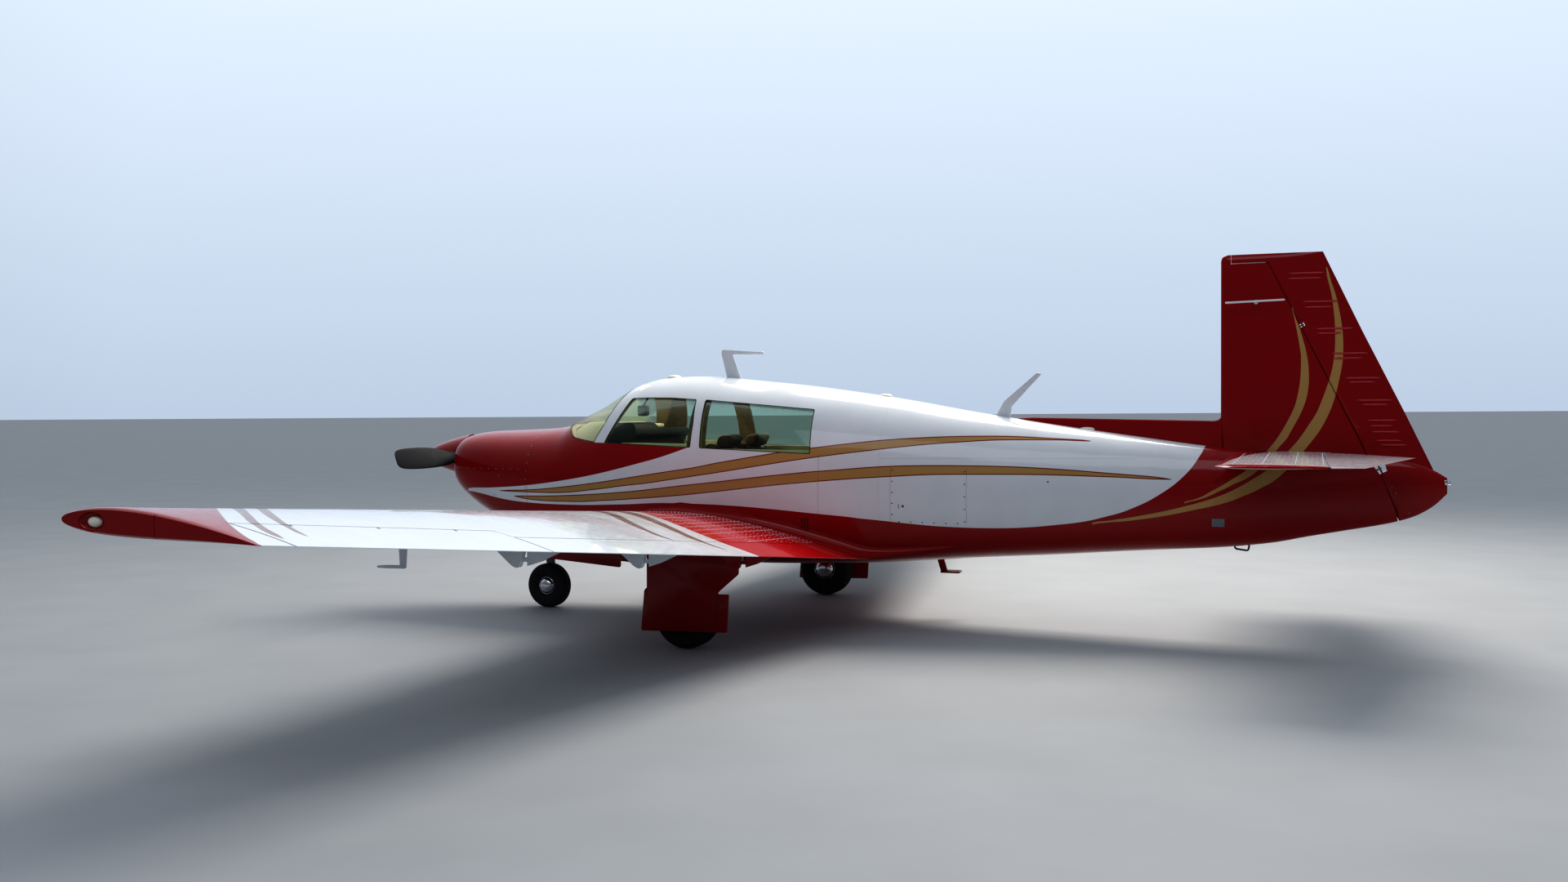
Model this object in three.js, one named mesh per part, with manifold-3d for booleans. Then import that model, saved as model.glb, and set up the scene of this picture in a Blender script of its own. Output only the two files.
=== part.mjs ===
// Low-wing light aircraft with four seats, one engine and retractable landing gear, parked on its wheels.
// Millimetres. While it is built, x is the station aft of the spinner's tip, y is to the right
// wing tip and z is the height above the ground. The group then moves the origin to the middle.
import * as THREE from 'three';
import { mergeVertices } from 'three/addons/utils/BufferGeometryUtils.js';
import Module from 'manifold-3d';

const wasm = await Module();
wasm.setup();

// Driving dimensions
const GAP = 0.5; // between pieces that touch
const RUNNING = 8; // clearance round pieces that move
const PIN_PLAY = 0.3; // between a pin and its bore

// Colours of the finishes
const RED = 0xa30a12;
const WHITE = 0xeef0f2;
const finish = (color, roughness, metalness) =>
  new THREE.MeshStandardMaterial({ color, roughness, metalness });
const redPaint = finish(RED, 0.2, 0.1);
const whitePaint = finish(WHITE, 0.2, 0.1);
const acrylic = finish(0x9fb5a8, 0.05, 0);
const darkMetal = finish(0x3a3c40, 0.45, 0.6);
const bareMetal = finish(0xb9bcc0, 0.3, 0.9);
const chromeCap = finish(0xd8dadc, 0.1, 1);
const rubber = finish(0x17181a, 0.9, 0);
const tanLeather = finish(0x8a6a48, 0.6, 0);
const panelBlack = finish(0x1c1d20, 0.6, 0);
const engineMetal = finish(0x6b6d70, 0.6, 0.7);
const lampGlass = finish(0xf4f6f8, 0.05, 0);

const aircraft = new THREE.Group();

// Solids and meshes

const volumeOf = (geometry) => {
  const p = geometry.attributes.position;
  const index = geometry.index;
  const [a, b, c] = [new THREE.Vector3(), new THREE.Vector3(), new THREE.Vector3()];
  let sum = 0;
  for (let i = 0; i < index.count; i += 3) {
    a.fromBufferAttribute(p, index.getX(i));
    b.fromBufferAttribute(p, index.getX(i + 1));
    c.fromBufferAttribute(p, index.getX(i + 2));
    sum += a.dot(b.cross(c));
  }
  return sum / 6;
};

// A geometry with shared vertices merged and its faces pointing out.
const closed = (geometry) => {
  let bare = geometry.clone();
  bare.deleteAttribute('normal');
  bare.deleteAttribute('uv');
  bare = mergeVertices(bare, 1e-3);
  if (volumeOf(bare) < 0) {
    const index = bare.index;
    for (let i = 0; i < index.count; i += 3) {
      const first = index.getX(i);
      index.setX(i, index.getX(i + 2));
      index.setX(i + 2, first);
    }
  }
  return bare;
};

const solidOf = (geometry) => {
  const bare = closed(geometry);
  return new wasm.Manifold(new wasm.Mesh({
    numProp: 3,
    vertProperties: new Float32Array(bare.attributes.position.array),
    triVerts: new Uint32Array(bare.index.array),
  }));
};

const geometryOf = (solid) => {
  const made = solid.getMesh();
  const geometry = new THREE.BufferGeometry();
  geometry.setAttribute('position', new THREE.BufferAttribute(made.vertProperties, 3));
  geometry.setIndex(new THREE.BufferAttribute(made.triVerts, 1));
  return geometry;
};

const asGeometry = (shape) => (shape.isBufferGeometry ? closed(shape) : geometryOf(shape));

const add = (name, shape, material) => {
  const geometry = asGeometry(shape);
  geometry.computeVertexNormals();
  const mesh = new THREE.Mesh(geometry, material);
  mesh.name = name;
  aircraft.add(mesh);
};

const mirrored = (shape) => {
  const geometry = asGeometry(shape).clone();
  geometry.scale(1, -1, 1);
  return closed(geometry);
};

// The same piece on both sides of the aircraft. The shape given is the right-hand one.
const addPair = (name, shape, material) => {
  add(`${name}_right`, shape, material);
  add(`${name}_left`, mirrored(shape), material);
};

// Shapes that don't touch, or that are meant to be joined, as one solid.
const joined = (...shapes) => shapes.map((s) => (s.isBufferGeometry ? solidOf(s) : s))
  .reduce((all, s) => all.add(s));
const cut = (shape, ...tools) => tools
  .map((t) => (t.isBufferGeometry ? solidOf(t) : t))
  .reduce((left, t) => left.subtract(t), shape.isBufferGeometry ? solidOf(shape) : shape);
const common = (a, b) => (a.isBufferGeometry ? solidOf(a) : a)
  .intersect(b.isBufferGeometry ? solidOf(b) : b);

// A body through rings of points. All rings have the same count.
const loft = (rings) => {
  const count = rings[0].length;
  const points = rings.flat();
  const index = [];
  for (let r = 0; r + 1 < rings.length; r += 1) {
    for (let i = 0; i < count; i += 1) {
      const j = (i + 1) % count;
      const [a, b] = [r * count + i, r * count + j];
      index.push(a, b, b + count, a, b + count, a + count);
    }
  }
  const cap = (ring, start) => {
    const normal = new THREE.Vector3();
    ring.forEach((p, i) => normal.add(new THREE.Vector3().crossVectors(p, ring[(i + 1) % count])));
    const size = [Math.abs(normal.x), Math.abs(normal.y), Math.abs(normal.z)];
    const keep = [['y', 'z'], ['x', 'z'], ['x', 'y']][size.indexOf(Math.max(...size))];
    const flat = ring.map((p) => new THREE.Vector2(p[keep[0]], p[keep[1]]));
    THREE.ShapeUtils.triangulateShape(flat, [])
      .forEach((corners) => index.push(...corners.map((k) => k + start)));
  };
  cap(rings[0], 0);
  cap(rings.at(-1), (rings.length - 1) * count);
  const geometry = new THREE.BufferGeometry();
  geometry.setAttribute('position', new THREE.Float32BufferAttribute(points.flatMap((p) => p.toArray()), 3));
  geometry.setIndex(index);
  return fixedCaps(geometry, count, rings.length);
};

// Turns the caps over where their triangles run the same way as the side's.
const fixedCaps = (geometry, count, rows) => {
  const index = Array.from(geometry.index.array);
  const sideEnd = (rows - 1) * count * 6;
  const capSize = (index.length - sideEnd) / 2;
  const sideEdges = new Set();
  for (let i = 0; i < sideEnd; i += 3) {
    for (let k = 0; k < 3; k += 1) sideEdges.add(`${index[i + k]}_${index[i + ((k + 1) % 3)]}`);
  }
  [sideEnd, sideEnd + capSize].forEach((start) => {
    let clash = false;
    for (let i = start; i < start + capSize; i += 3) {
      for (let k = 0; k < 3; k += 1) {
        clash ||= sideEdges.has(`${index[i + k]}_${index[i + ((k + 1) % 3)]}`);
      }
    }
    if (clash) {
      for (let i = start; i < start + capSize; i += 3) {
        [index[i], index[i + 2]] = [index[i + 2], index[i]];
      }
    }
  });
  geometry.setIndex(index);
  return geometry;
};

// A prism of an outline. Along y the outline is in x and z, along z in x and y, along x in y and z.
const prism = (axis, outline, from, to) => {
  const shape = new THREE.Shape(outline.map(([a, b]) => new THREE.Vector2(a, b)));
  const geometry = new THREE.ExtrudeGeometry(shape, { depth: to - from, bevelEnabled: false });
  geometry.translate(0, 0, from);
  const [u, v, w] = {
    x: [[0, 1, 0], [0, 0, 1], [1, 0, 0]],
    y: [[1, 0, 0], [0, 0, 1], [0, 1, 0]],
    z: [[1, 0, 0], [0, 1, 0], [0, 0, 1]],
  }[axis].map((d) => new THREE.Vector3(...d));
  geometry.applyMatrix4(new THREE.Matrix4().makeBasis(u, v, w));
  return closed(geometry);
};

const box = (x, y, z) => {
  const geometry = new THREE.BoxGeometry(x[1] - x[0], y[1] - y[0], z[1] - z[0]);
  geometry.translate((x[0] + x[1]) / 2, (y[0] + y[1]) / 2, (z[0] + z[1]) / 2);
  return closed(geometry);
};

// An outline with round corners.
const rounded = (outline, radius, steps = 4) => outline.flatMap((corner, i) => {
  const here = new THREE.Vector2(...corner);
  const before = new THREE.Vector2(...outline.at(i - 1)).sub(here);
  const after = new THREE.Vector2(...outline[(i + 1) % outline.length]).sub(here);
  const reach = Math.min(radius, before.length() / 2.2, after.length() / 2.2);
  const start = here.clone().addScaledVector(before.normalize(), reach);
  const end = here.clone().addScaledVector(after.normalize(), reach);
  const bend = new THREE.QuadraticBezierCurve(start, here, end);
  return bend.getPoints(steps).map((p) => [p.x, p.y]);
});

// An outline moved in by a distance on every side. The outline runs anticlockwise.
const inset = (outline, distance) => {
  const area = THREE.ShapeUtils.area(outline.map((p) => new THREE.Vector2(...p)));
  const way = Math.sign(area);
  return outline.map((corner, i) => {
    const here = new THREE.Vector2(...corner);
    const before = here.clone().sub(new THREE.Vector2(...outline.at(i - 1))).normalize();
    const after = new THREE.Vector2(...outline[(i + 1) % outline.length]).sub(here).normalize();
    const n1 = new THREE.Vector2(-before.y, before.x).multiplyScalar(way);
    const n2 = new THREE.Vector2(-after.y, after.x).multiplyScalar(way);
    const mid = n1.add(n2).normalize();
    const share = Math.max(0.4, mid.dot(n2));
    return [here.x + (mid.x * distance) / share, here.y + (mid.y * distance) / share];
  });
};

// A round bar between two points, or a cone where the radii differ.
const bar = (from, to, radius, endRadius = radius, sides = 14) => {
  const [a, b] = [new THREE.Vector3(...from), new THREE.Vector3(...to)];
  const geometry = new THREE.CylinderGeometry(endRadius, radius, a.distanceTo(b), sides);
  const along = b.clone().sub(a).normalize();
  geometry.applyQuaternion(new THREE.Quaternion().setFromUnitVectors(new THREE.Vector3(0, 1, 0), along));
  geometry.translate(...a.add(b).multiplyScalar(0.5).toArray());
  return closed(geometry);
};

// The radius of a faceted bore in which a pin of a given radius turns freely.
const boreFor = (radius, sides) => (radius + PIN_PLAY) / Math.cos(Math.PI / sides);

// A turned shape. The profile is [radius, distance along the axis]; the axis is x or y.
const turned = (profile, axis, centre, sides = 28) => {
  const points = profile.map(([r, h]) => new THREE.Vector2(r, h));
  const geometry = new THREE.LatheGeometry(points, sides);
  if (axis === 'x') geometry.rotateZ(-Math.PI / 2);
  geometry.translate(...centre);
  return closed(geometry);
};

// The fuselage: cowl, cabin, tail cone and tail fairing are lengths of one loft.
// Station, bottom, top, half width, height of the greatest width, power above it, power below it.
const FUSELAGE = [
  [455, 935, 1325, 325, 1130, 2.5, 2.5],
  [480, 900, 1345, 355, 1120, 2.5, 2.5],
  [560, 840, 1366, 400, 1100, 2.5, 2.6],
  [700, 755, 1380, 438, 1070, 2.5, 2.8],
  [950, 640, 1389, 482, 1030, 2.5, 3.2],
  [1220, 540, 1402, 524, 1000, 2.5, 3.6],
  [1400, 500, 1443, 548, 990, 2.4, 4],
  [1520, 482, 1497, 558, 985, 2.35, 4],
  [1700, 462, 1585, 568, 980, 2.3, 4],
  [1945, 446, 1722, 577, 980, 2.3, 4],
  [2150, 438, 1776, 582, 980, 2.3, 4],
  [2400, 432, 1787, 585, 980, 2.3, 4],
  [3010, 430, 1738, 578, 980, 2.3, 4],
  [3330, 436, 1703, 565, 980, 2.3, 3.9],
  [3640, 446, 1660, 541, 975, 2.3, 3.7],
  [3940, 458, 1615, 505, 970, 2.25, 3.5],
  [4530, 503, 1508, 420, 950, 2.2, 3.1],
  [5100, 540, 1417, 330, 930, 2.2, 2.9],
  [5640, 581, 1340, 243, 930, 2.2, 2.8],
  [6120, 612, 1277, 172, 930, 2.2, 2.7],
  [6450, 650, 1252, 132, 940, 2.2, 2.6],
  [6700, 702, 1236, 104, 960, 2.2, 2.5],
  [6920, 745, 1222, 80, 980, 2.2, 2.4],
  [7157, 793, 1205, 55, 1000, 2.2, 2.4],
  [7300, 837, 1180, 40, 1010, 2.2, 2.2],
  [7416, 906, 1135, 26, 1020, 2.1, 2.1],
  [7495, 985, 1085, 12, 1035, 2, 2],
];
const [STATION, BOTTOM, TOP, HALF, WIDE, POWER_UP, POWER_DOWN] = [0, 1, 2, 3, 4, 5, 6];
const OUTER_RING = 36; // points in one ring
const INNER_RING = 24;
const FIREWALL = 1220;
const CABIN_BACK = 3940;
const TAIL_JOINT = 6120;
const CABIN_WALL = 42;
const CABIN_FLOOR = 70;
const SKIN = 12;

// One ring of the fuselage, moved in by the wall's thickness.
const fuselageRing = (row, wall, floor, count) => Array.from({ length: count }, (_, i) => {
  const angle = (2 * Math.PI * i) / count;
  const [c, s] = [Math.cos(angle), Math.sin(angle)];
  const power = 2 / (s >= 0 ? row[POWER_UP] : row[POWER_DOWN]);
  const rise = s >= 0 ? row[TOP] - wall - row[WIDE] : row[WIDE] - row[BOTTOM] - floor;
  const y = (row[HALF] - wall) * Math.sign(c) * Math.abs(c) ** power;
  const z = row[WIDE] + rise * Math.sign(s) * Math.abs(s) ** power;
  return new THREE.Vector3(row[STATION], Math.abs(c) < 1e-9 ? 0 : y, z);
});

// A row of the table at any station.
const fuselageRow = (station) => {
  const next = Math.max(1, FUSELAGE.findIndex((row) => row[STATION] >= station));
  const [a, b] = [FUSELAGE[next - 1], FUSELAGE[next]];
  const share = (station - a[STATION]) / (b[STATION] - a[STATION]);
  return a.map((value, k) => value + (b[k] - value) * share);
};

const fuselageRows = (from, to) => [
  fuselageRow(from),
  ...FUSELAGE.filter((row) => row[STATION] > from + 1 && row[STATION] < to - 1),
  fuselageRow(to),
];
const fuselage = (from, to, wall = 0, floor = wall, count = OUTER_RING) => loft(
  fuselageRows(from, to).map((row) => fuselageRing(row, wall, floor, count)));

const COWL_FRONT = 455;
const TAIL_END = 7495;
const outside = solidOf(fuselage(COWL_FRONT, TAIL_END, -GAP));

// The wing's panels, mirrored from the right-hand one.
const WING = { le: 2070, rootChord: 1850, tipChord: 970, panelEnd: 5330, tipY: 5450, rootY: 420 };
const CAMBER = 0.02;
const AIRFOIL_STEPS = 10;
const wingChord = (y) => WING.rootChord - ((WING.rootChord - WING.tipChord) * y) / WING.tipY;
const wingThickness = (y) => 0.15 - (0.03 * y) / WING.tipY;
const leadingZ = (y) => 658 + 0.0846 * y;
const trailingZ = (y) => 461 + 0.1062 * y;

// Height above the chord line at a share of the chord, for a chord of one.
const airfoil = (s, side, thickness, camber) => {
  const half = 5 * thickness * (0.2969 * Math.sqrt(s) - 0.126 * s - 0.3516 * s ** 2
    + 0.2843 * s ** 3 - 0.1015 * s ** 4);
  return 4 * camber * s * (1 - s) + side * half;
};
const chordSteps = Array.from({ length: AIRFOIL_STEPS + 1 },
  (_, i) => 1 - Math.cos((Math.PI * i) / (2 * AIRFOIL_STEPS)));
// From the trailing edge over one side to the leading edge and back over the other.
const airfoilLoop = (thickness, camber) => [
  ...chordSteps.toReversed().map((s) => [s, airfoil(s, 1, thickness, camber)]),
  ...chordSteps.slice(1).map((s) => [s, airfoil(s, -1, thickness, camber)]),
];

const wingRing = (y, grow = 1) => {
  const chord = wingChord(y);
  return airfoilLoop(wingThickness(y) * grow, CAMBER).map(([s, h]) => new THREE.Vector3(
    WING.le + s * chord, y, leadingZ(y) + (trailingZ(y) - leadingZ(y)) * s + h * chord));
};
const wingZ = (x, y, side) => {
  const chord = wingChord(y);
  const s = THREE.MathUtils.clamp((x - WING.le) / chord, 0, 1);
  return leadingZ(y) + (trailingZ(y) - leadingZ(y)) * s
    + airfoil(s, side, wingThickness(y), CAMBER) * chord;
};
const wingPanel = solidOf(loft([wingRing(WING.rootY), wingRing(WING.panelEnd)]));
const wingClear = solidOf(loft([wingRing(WING.rootY, 1.012), wingRing(WING.panelEnd, 1.012)]));

// Control surfaces on the wing: where each starts and ends, and its chord there.
const FLAP = { inner: 640, outer: 3784, innerChord: 262, outerChord: 212, pivotDrop: 45 };
const AILERON = { inner: 3798, outer: 5316, innerChord: 322, outerChord: 318 };
const AILERON_SLANT = 0.3;
const hingeX = (part, y) => {
  const share = (y - part.inner) / (part.outer - part.inner);
  return WING.le + wingChord(y) - (part.innerChord + (part.outerChord - part.innerChord) * share);
};
// A straight pivot line beside the upper or lower surface, as [x, y, z] at any y.
const pivotLine = (part, side, behind, below) => (y) => {
  const [inner, outer] = [part.inner, part.outer]
    .map((end) => wingZ(hingeX(part, end), end, side) - below);
  const share = (y - part.inner) / (part.outer - part.inner);
  return [hingeX(part, y) + behind, y, inner + (outer - inner) * share];
};
// All of the wing behind a hinge line. The front face may slant back underneath.
const behindHinge = (part, from, to, shift, slant = 0) => loft([from, to].map((y) => {
  const [x, z] = [hingeX(part, y) + shift, wingZ(hingeX(part, y), y, 1)];
  return [[x - 200 * slant, z + 200], [4300, z + 200], [4300, z - 300], [x + 300 * slant, z - 300]]
    .map(([px, pz]) => new THREE.Vector3(px, y, pz));
}));

const MAIN_AXLE = [2922, 1395, 218];
const MAIN_TYRE = { radius: 218, width: 158, rim: 92 };
const WELL = { x: [2668, 3176], y: [760, 1500], skin: 46 };
const wellRoof = (x) => {
  const [front, rear] = WELL.x.map((edge) => wingZ(edge, 1130, 1) - WELL.skin);
  return front + ((rear - front) * (x - WELL.x[0])) / (WELL.x[1] - WELL.x[0]);
};
const FAIRINGS = [1600, 2650, 3690]; // flap hinge fairings under each wing
const FAIRING_WIDTH = 34;
const JACK = { x: 2560, y: 1900 }; // jacking point under each wing

const PIN_SIDES = 8;
// A round bar along a pivot line, centred at y.
const crossBar = (line, y, radius, width, sides = PIN_SIDES) => bar(
  line(y - width / 2), line(y + width / 2), radius, radius, sides);

// The fixed front half of a hinge fairing with its lug, and the half that moves with the flap.
const FLAP_LUG = { radius: 11, width: 11, pin: 5, slot: 22, slotRadius: 18 };
const flapPivot = pivotLine(FLAP, -1, 0, FLAP.pivotDrop);
const fairingFront = (y) => {
  const x = hingeX(FLAP, y);
  const z = wingZ(x, y, -1);
  const pivot = flapPivot(y);
  const arm = box([x - 60, x], [y - FLAP_LUG.width / 2, y + FLAP_LUG.width / 2],
    [pivot[2] - FLAP_LUG.radius, pivot[2] + FLAP_LUG.radius]);
  return cut(joined(prism('y', [
    [x - 12, z + 30], [x - 44, z - 80], [x - 62, z - 88], [x - 90, z - 76], [x - 215, z + 30],
  ], y - FAIRING_WIDTH / 2, y + FAIRING_WIDTH / 2), arm,
  crossBar(flapPivot, y, FLAP_LUG.radius, FLAP_LUG.width)),
  crossBar(flapPivot, y, boreFor(FLAP_LUG.pin, PIN_SIDES), 60));
};
const fairingRear = (y) => {
  const x = hingeX(FLAP, y);
  const z = wingZ(x, y, -1);
  const tail = wingZ(x + 180, y, -1);
  const cheeks = joined(prism('y', [
    [x + 1, z + 20], [x + 180, tail + 4], [x + 166, tail - 4], [x + 70, z - 52], [x + 1, z - 74],
  ], y - FAIRING_WIDTH / 2, y + FAIRING_WIDTH / 2), crossBar(flapPivot, y, 12, FAIRING_WIDTH));
  return joined(cut(cheeks, crossBar(flapPivot, y, FLAP_LUG.slotRadius, FLAP_LUG.slot)),
    crossBar(flapPivot, y, FLAP_LUG.pin, FAIRING_WIDTH - 2));
};

// Brackets that carry the aileron: a plate on the wing, and a slot with a pin in the aileron.
const AILERON_BRACKETS = [4080, 4560, 5040];
const BRACKET = { radius: 9, width: 8, pin: 4, slot: 20, slotRadius: 16, behind: 9, below: 15 };
const aileronPivot = pivotLine(AILERON, 1, BRACKET.behind, BRACKET.below);
const aileronPlate = (y) => {
  const [x, , z] = aileronPivot(y);
  const arm = box([x - 50, x], [y - BRACKET.width / 2, y + BRACKET.width / 2],
    [z - BRACKET.radius, z + BRACKET.radius]);
  return cut(joined(arm, crossBar(aileronPivot, y, BRACKET.radius, BRACKET.width)),
    crossBar(aileronPivot, y, boreFor(BRACKET.pin, PIN_SIDES), 60));
};

function buildWings() {
  const well = prism('y', [
    [WELL.x[0], 300], [WELL.x[1], 300], [WELL.x[1], wellRoof(WELL.x[1])], [WELL.x[0], wellRoof(WELL.x[0])],
  ], ...WELL.y);
  const border = (FLAP.outer + AILERON.inner) / 2;
  const fixed = cut(wingPanel, outside, well,
    behindHinge(FLAP, FLAP.inner - RUNNING, border, -RUNNING),
    behindHinge(AILERON, border, WING.panelEnd + 50, -RUNNING));
  const jackPad = turned([[0, -24], [20, -24], [26, 30], [0, 30]], 'y', [0, 0, 0], 20)
    .rotateX(Math.PI / 2).translate(JACK.x, JACK.y, wingZ(JACK.x, JACK.y, -1));
  addPair('wing', joined(fixed, ...FAIRINGS.map(fairingFront), ...AILERON_BRACKETS.map(aileronPlate),
    jackPad), whitePaint);

  const flap = common(wingPanel, behindHinge(FLAP, FLAP.inner, FLAP.outer, 0));
  addPair('flap', joined(flap, ...FAIRINGS.map(fairingRear)), whitePaint);
  const aileron = common(wingPanel,
    behindHinge(AILERON, AILERON.inner, AILERON.outer, 0, AILERON_SLANT));
  const slots = AILERON_BRACKETS.map((y) => crossBar(aileronPivot, y, BRACKET.slotRadius, BRACKET.slot));
  const pins = AILERON_BRACKETS.map((y) => crossBar(aileronPivot, y, BRACKET.pin, BRACKET.slot + 8));
  addPair('aileron', joined(cut(aileron, ...slots), ...pins), whitePaint);

  addPair('wing_tip', loft([
    wingRing(WING.panelEnd + GAP), wingRing(5465, 0.99), wingRing(5491, 0.93), wingRing(5500, 0.8),
  ]), redPaint);
}

// Propeller, shaft and engine
const HUB = { x: 362, z: 1183 };
const SPINNER = { length: 420, radius: 170, wall: 5 };
const BLADE = { tip: 940, shank: 38 };
const SHAFT = 46;
const SPLIT = 1085; // where the upper and lower cowl meet
// Distance from the hub's middle, chord, thickness, pitch in degrees.
const BLADE_SECTIONS = [
  [40, 76, 76, 0], [175, 78, 72, 60], [260, 138, 34, 48], [400, 172, 24, 36],
  [600, 176, 17, 27], [800, 164, 12, 21], [900, 140, 9, 19], [940, 84, 6, 18],
];

// The blade on the right-hand side, which goes down as the propeller turns.
const bladeShape = () => loft(BLADE_SECTIONS.map(([y, chord, thickness, pitch]) => {
  const turn = THREE.MathUtils.degToRad(pitch);
  return Array.from({ length: 14 }, (_, i) => {
    const angle = (2 * Math.PI * i) / 14;
    const [along, across] = [(chord / 2) * Math.cos(angle), (thickness / 2) * Math.sin(angle)];
    return new THREE.Vector3(
      HUB.x - along * Math.sin(turn) + across * Math.cos(turn), y,
      HUB.z - along * Math.cos(turn) - across * Math.sin(turn));
  });
}));

const spinnerRadius = (x) => SPINNER.radius * Math.sqrt(x / SPINNER.length);
function buildPropeller() {
  const blade = bladeShape();
  const other = blade.clone().translate(-HUB.x, 0, -HUB.z).rotateX(Math.PI).translate(HUB.x, 0, HUB.z);

  const steps = [0, 12, 50, 120, 220, 320, 420];
  const outer = steps.map((x) => [spinnerRadius(x), x]);
  const inner = steps.slice(2).toReversed().map((x) => [spinnerRadius(x) - SPINNER.wall, x]);
  const shell = turned([...outer, ...inner, [0, 24]], 'x', [0, 0, HUB.z], 24);
  const bladeHole = bar([HUB.x, -200, HUB.z], [HUB.x, 200, HUB.z], BLADE.shank + 8, BLADE.shank + 8, 18);
  add('spinner', cut(shell, bladeHole), redPaint);
  const hub = turned([
    [0, 290], [60, 290], [78, 305], [78, 404], [161.2, 404], [161.2, 418], [SHAFT, 418], [SHAFT, 672],
    [0, 672],
  ], 'x', [0, 0, HUB.z], 24);
  add('propeller', joined(hub, blade, other), darkMetal);
}

function buildCowl() {
  const shell = cut(fuselage(COWL_FRONT, FIREWALL - GAP), fuselage(470, FIREWALL + 5, 9));
  const inlet = (side) => prism('x', rounded([
    [side * 165, 1150], [side * 300, 1150], [side * 300, 1270], [side * 165, 1270],
  ], 58), 400, 620);
  const shaftHole = bar([400, 0, HUB.z], [620, 0, HUB.z], 82);
  const noseBay = box([900, 1300], [-150, 150], [400, 760]);
  const cowl = cut(shell, inlet(1), inlet(-1), shaftHole, noseBay);
  add('cowl_upper', common(cowl, box([300, 1400], [-700, 700], [SPLIT + GAP / 2, 1600])), redPaint);
  add('cowl_lower', common(cowl, box([300, 1400], [-700, 700], [300, SPLIT - GAP / 2])), redPaint);
  add('firewall', common(fuselage(FIREWALL + GAP, FIREWALL + 14, 60, 60, INNER_RING),
    box([1200, 1260], [-600, 600], [775, 1500])), bareMetal);
  const block = prism('x', [
    [300, 875], [380, 960], [380, 1190], [250, 1298], [-250, 1298], [-380, 1190], [-380, 960], [-300, 875],
  ], 640, 1195);
  const feet = [-1, 1].flatMap((side) => [960, 1190].map((z) => box(
    [1180, FIREWALL], [side * 220 - 24, side * 220 + 24], [z - 24, z + 24])));
  const bearing = bar([620, 0, HUB.z], [674, 0, HUB.z], boreFor(SHAFT, 24), boreFor(SHAFT, 24), 24);
  add('engine', cut(joined(block, ...feet), bearing), engineMetal);
  const pipe = bar([1690, 200, 500], [1945, 200, 375], 25);
  add('exhaust_pipe', cut(pipe, outside), darkMetal);
}

// Windows and doors in side view, corners anticlockwise from the lower front.
const WINDSHIELD = [
  [1316, 1412], [1420, 1370], [1560, 1336], [1762, 1304], [1962, 1668], [1880, 1820], [1300, 1820],
];
const FRONT_WINDOW = [[1886, 1303], [2542, 1271], [2548, 1622], [2075, 1634]];
const REAR_WINDOW = [[2640, 1262], [3452, 1224], [3452, 1546], [2616, 1616]];
const GLASS = { from: 3, to: 10 }; // depth below the skin
const CABIN_DOOR = [[1800, 905], [2700, 905], [2700, 1650], [2054, 1650], [1800, 1268]];
const DOOR_HINGE = { x: 1795, y: 586, reach: 818 };
const BAGGAGE_DOOR = [[3520, 1010], [3900, 1010], [3900, 1430], [3520, 1430]];
const DOOR_GAP = 6;
const SIDES = { right: [250, 720], left: [-720, -250] };
const BAY = { x: [1236, 1665], y: 150, wall: 12, roof: 770 };

const windshieldHole = (distance) => prism('y', inset(WINDSHIELD, distance), -700, 700);
const windowHole = (outline, distance, side) => prism('y', rounded(inset(outline, distance), 34),
  ...SIDES[side]);
// The rear edge of the door's opening is round about the hinge, so that the door swings clear.
const doorHole = (distance) => common(
  prism('y', inset(CABIN_DOOR, distance), ...SIDES.right),
  bar([DOOR_HINGE.x, DOOR_HINGE.y, 800], [DOOR_HINGE.x, DOOR_HINGE.y, 1800],
    DOOR_HINGE.reach - distance, DOOR_HINGE.reach - distance, 90));
const baggageHole = (distance) => prism('y', rounded(inset(BAGGAGE_DOOR, distance), 30, 3), ...SIDES.right);

// Door hinges: a knuckle on the cabin and one on the door, with the pin between them.
const cabinKnuckle = (z) => joined(
  bar([DOOR_HINGE.x, DOOR_HINGE.y, z], [DOOR_HINGE.x, DOOR_HINGE.y, z + 25], 7),
  bar([DOOR_HINGE.x, DOOR_HINGE.y, z + 20], [DOOR_HINGE.x, DOOR_HINGE.y, z + 46], 3, 3, 12),
  box([DOOR_HINGE.x - 26, DOOR_HINGE.x], [558, DOOR_HINGE.y + 5], [z, z + 25]));
const doorKnuckle = (z) => cut(joined(
  bar([DOOR_HINGE.x, DOOR_HINGE.y, z + 25.4], [DOOR_HINGE.x, DOOR_HINGE.y, z + 50], 7),
  box([DOOR_HINGE.x, DOOR_HINGE.x + 30], [575, DOOR_HINGE.y + 5], [z + 25.4, z + 50]),
  box([DOOR_HINGE.x + 13, DOOR_HINGE.x + 30], [555, 580], [z + 25.4, z + 50])),
bar([DOOR_HINGE.x, DOOR_HINGE.y, z], [DOOR_HINGE.x, DOOR_HINGE.y, z + 47], boreFor(3, 12), boreFor(3, 12), 12));
const DOOR_KNUCKLES = [930, 1090];
const BAGGAGE_HINGE = { x: 3530, y: 456, z: 1436 };
const baggageBar = (from, to, radius, sides = 14) => bar(
  [BAGGAGE_HINGE.x + from, BAGGAGE_HINGE.y, BAGGAGE_HINGE.z],
  [BAGGAGE_HINGE.x + to, BAGGAGE_HINGE.y, BAGGAGE_HINGE.z], radius, radius, sides);
const baggageFixed = () => joined(baggageBar(0, 23, 6), baggageBar(20, 44, 2.6, 12),
  box([BAGGAGE_HINGE.x, BAGGAGE_HINGE.x + 23], [424, 457], [1434, 1447]));
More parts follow.
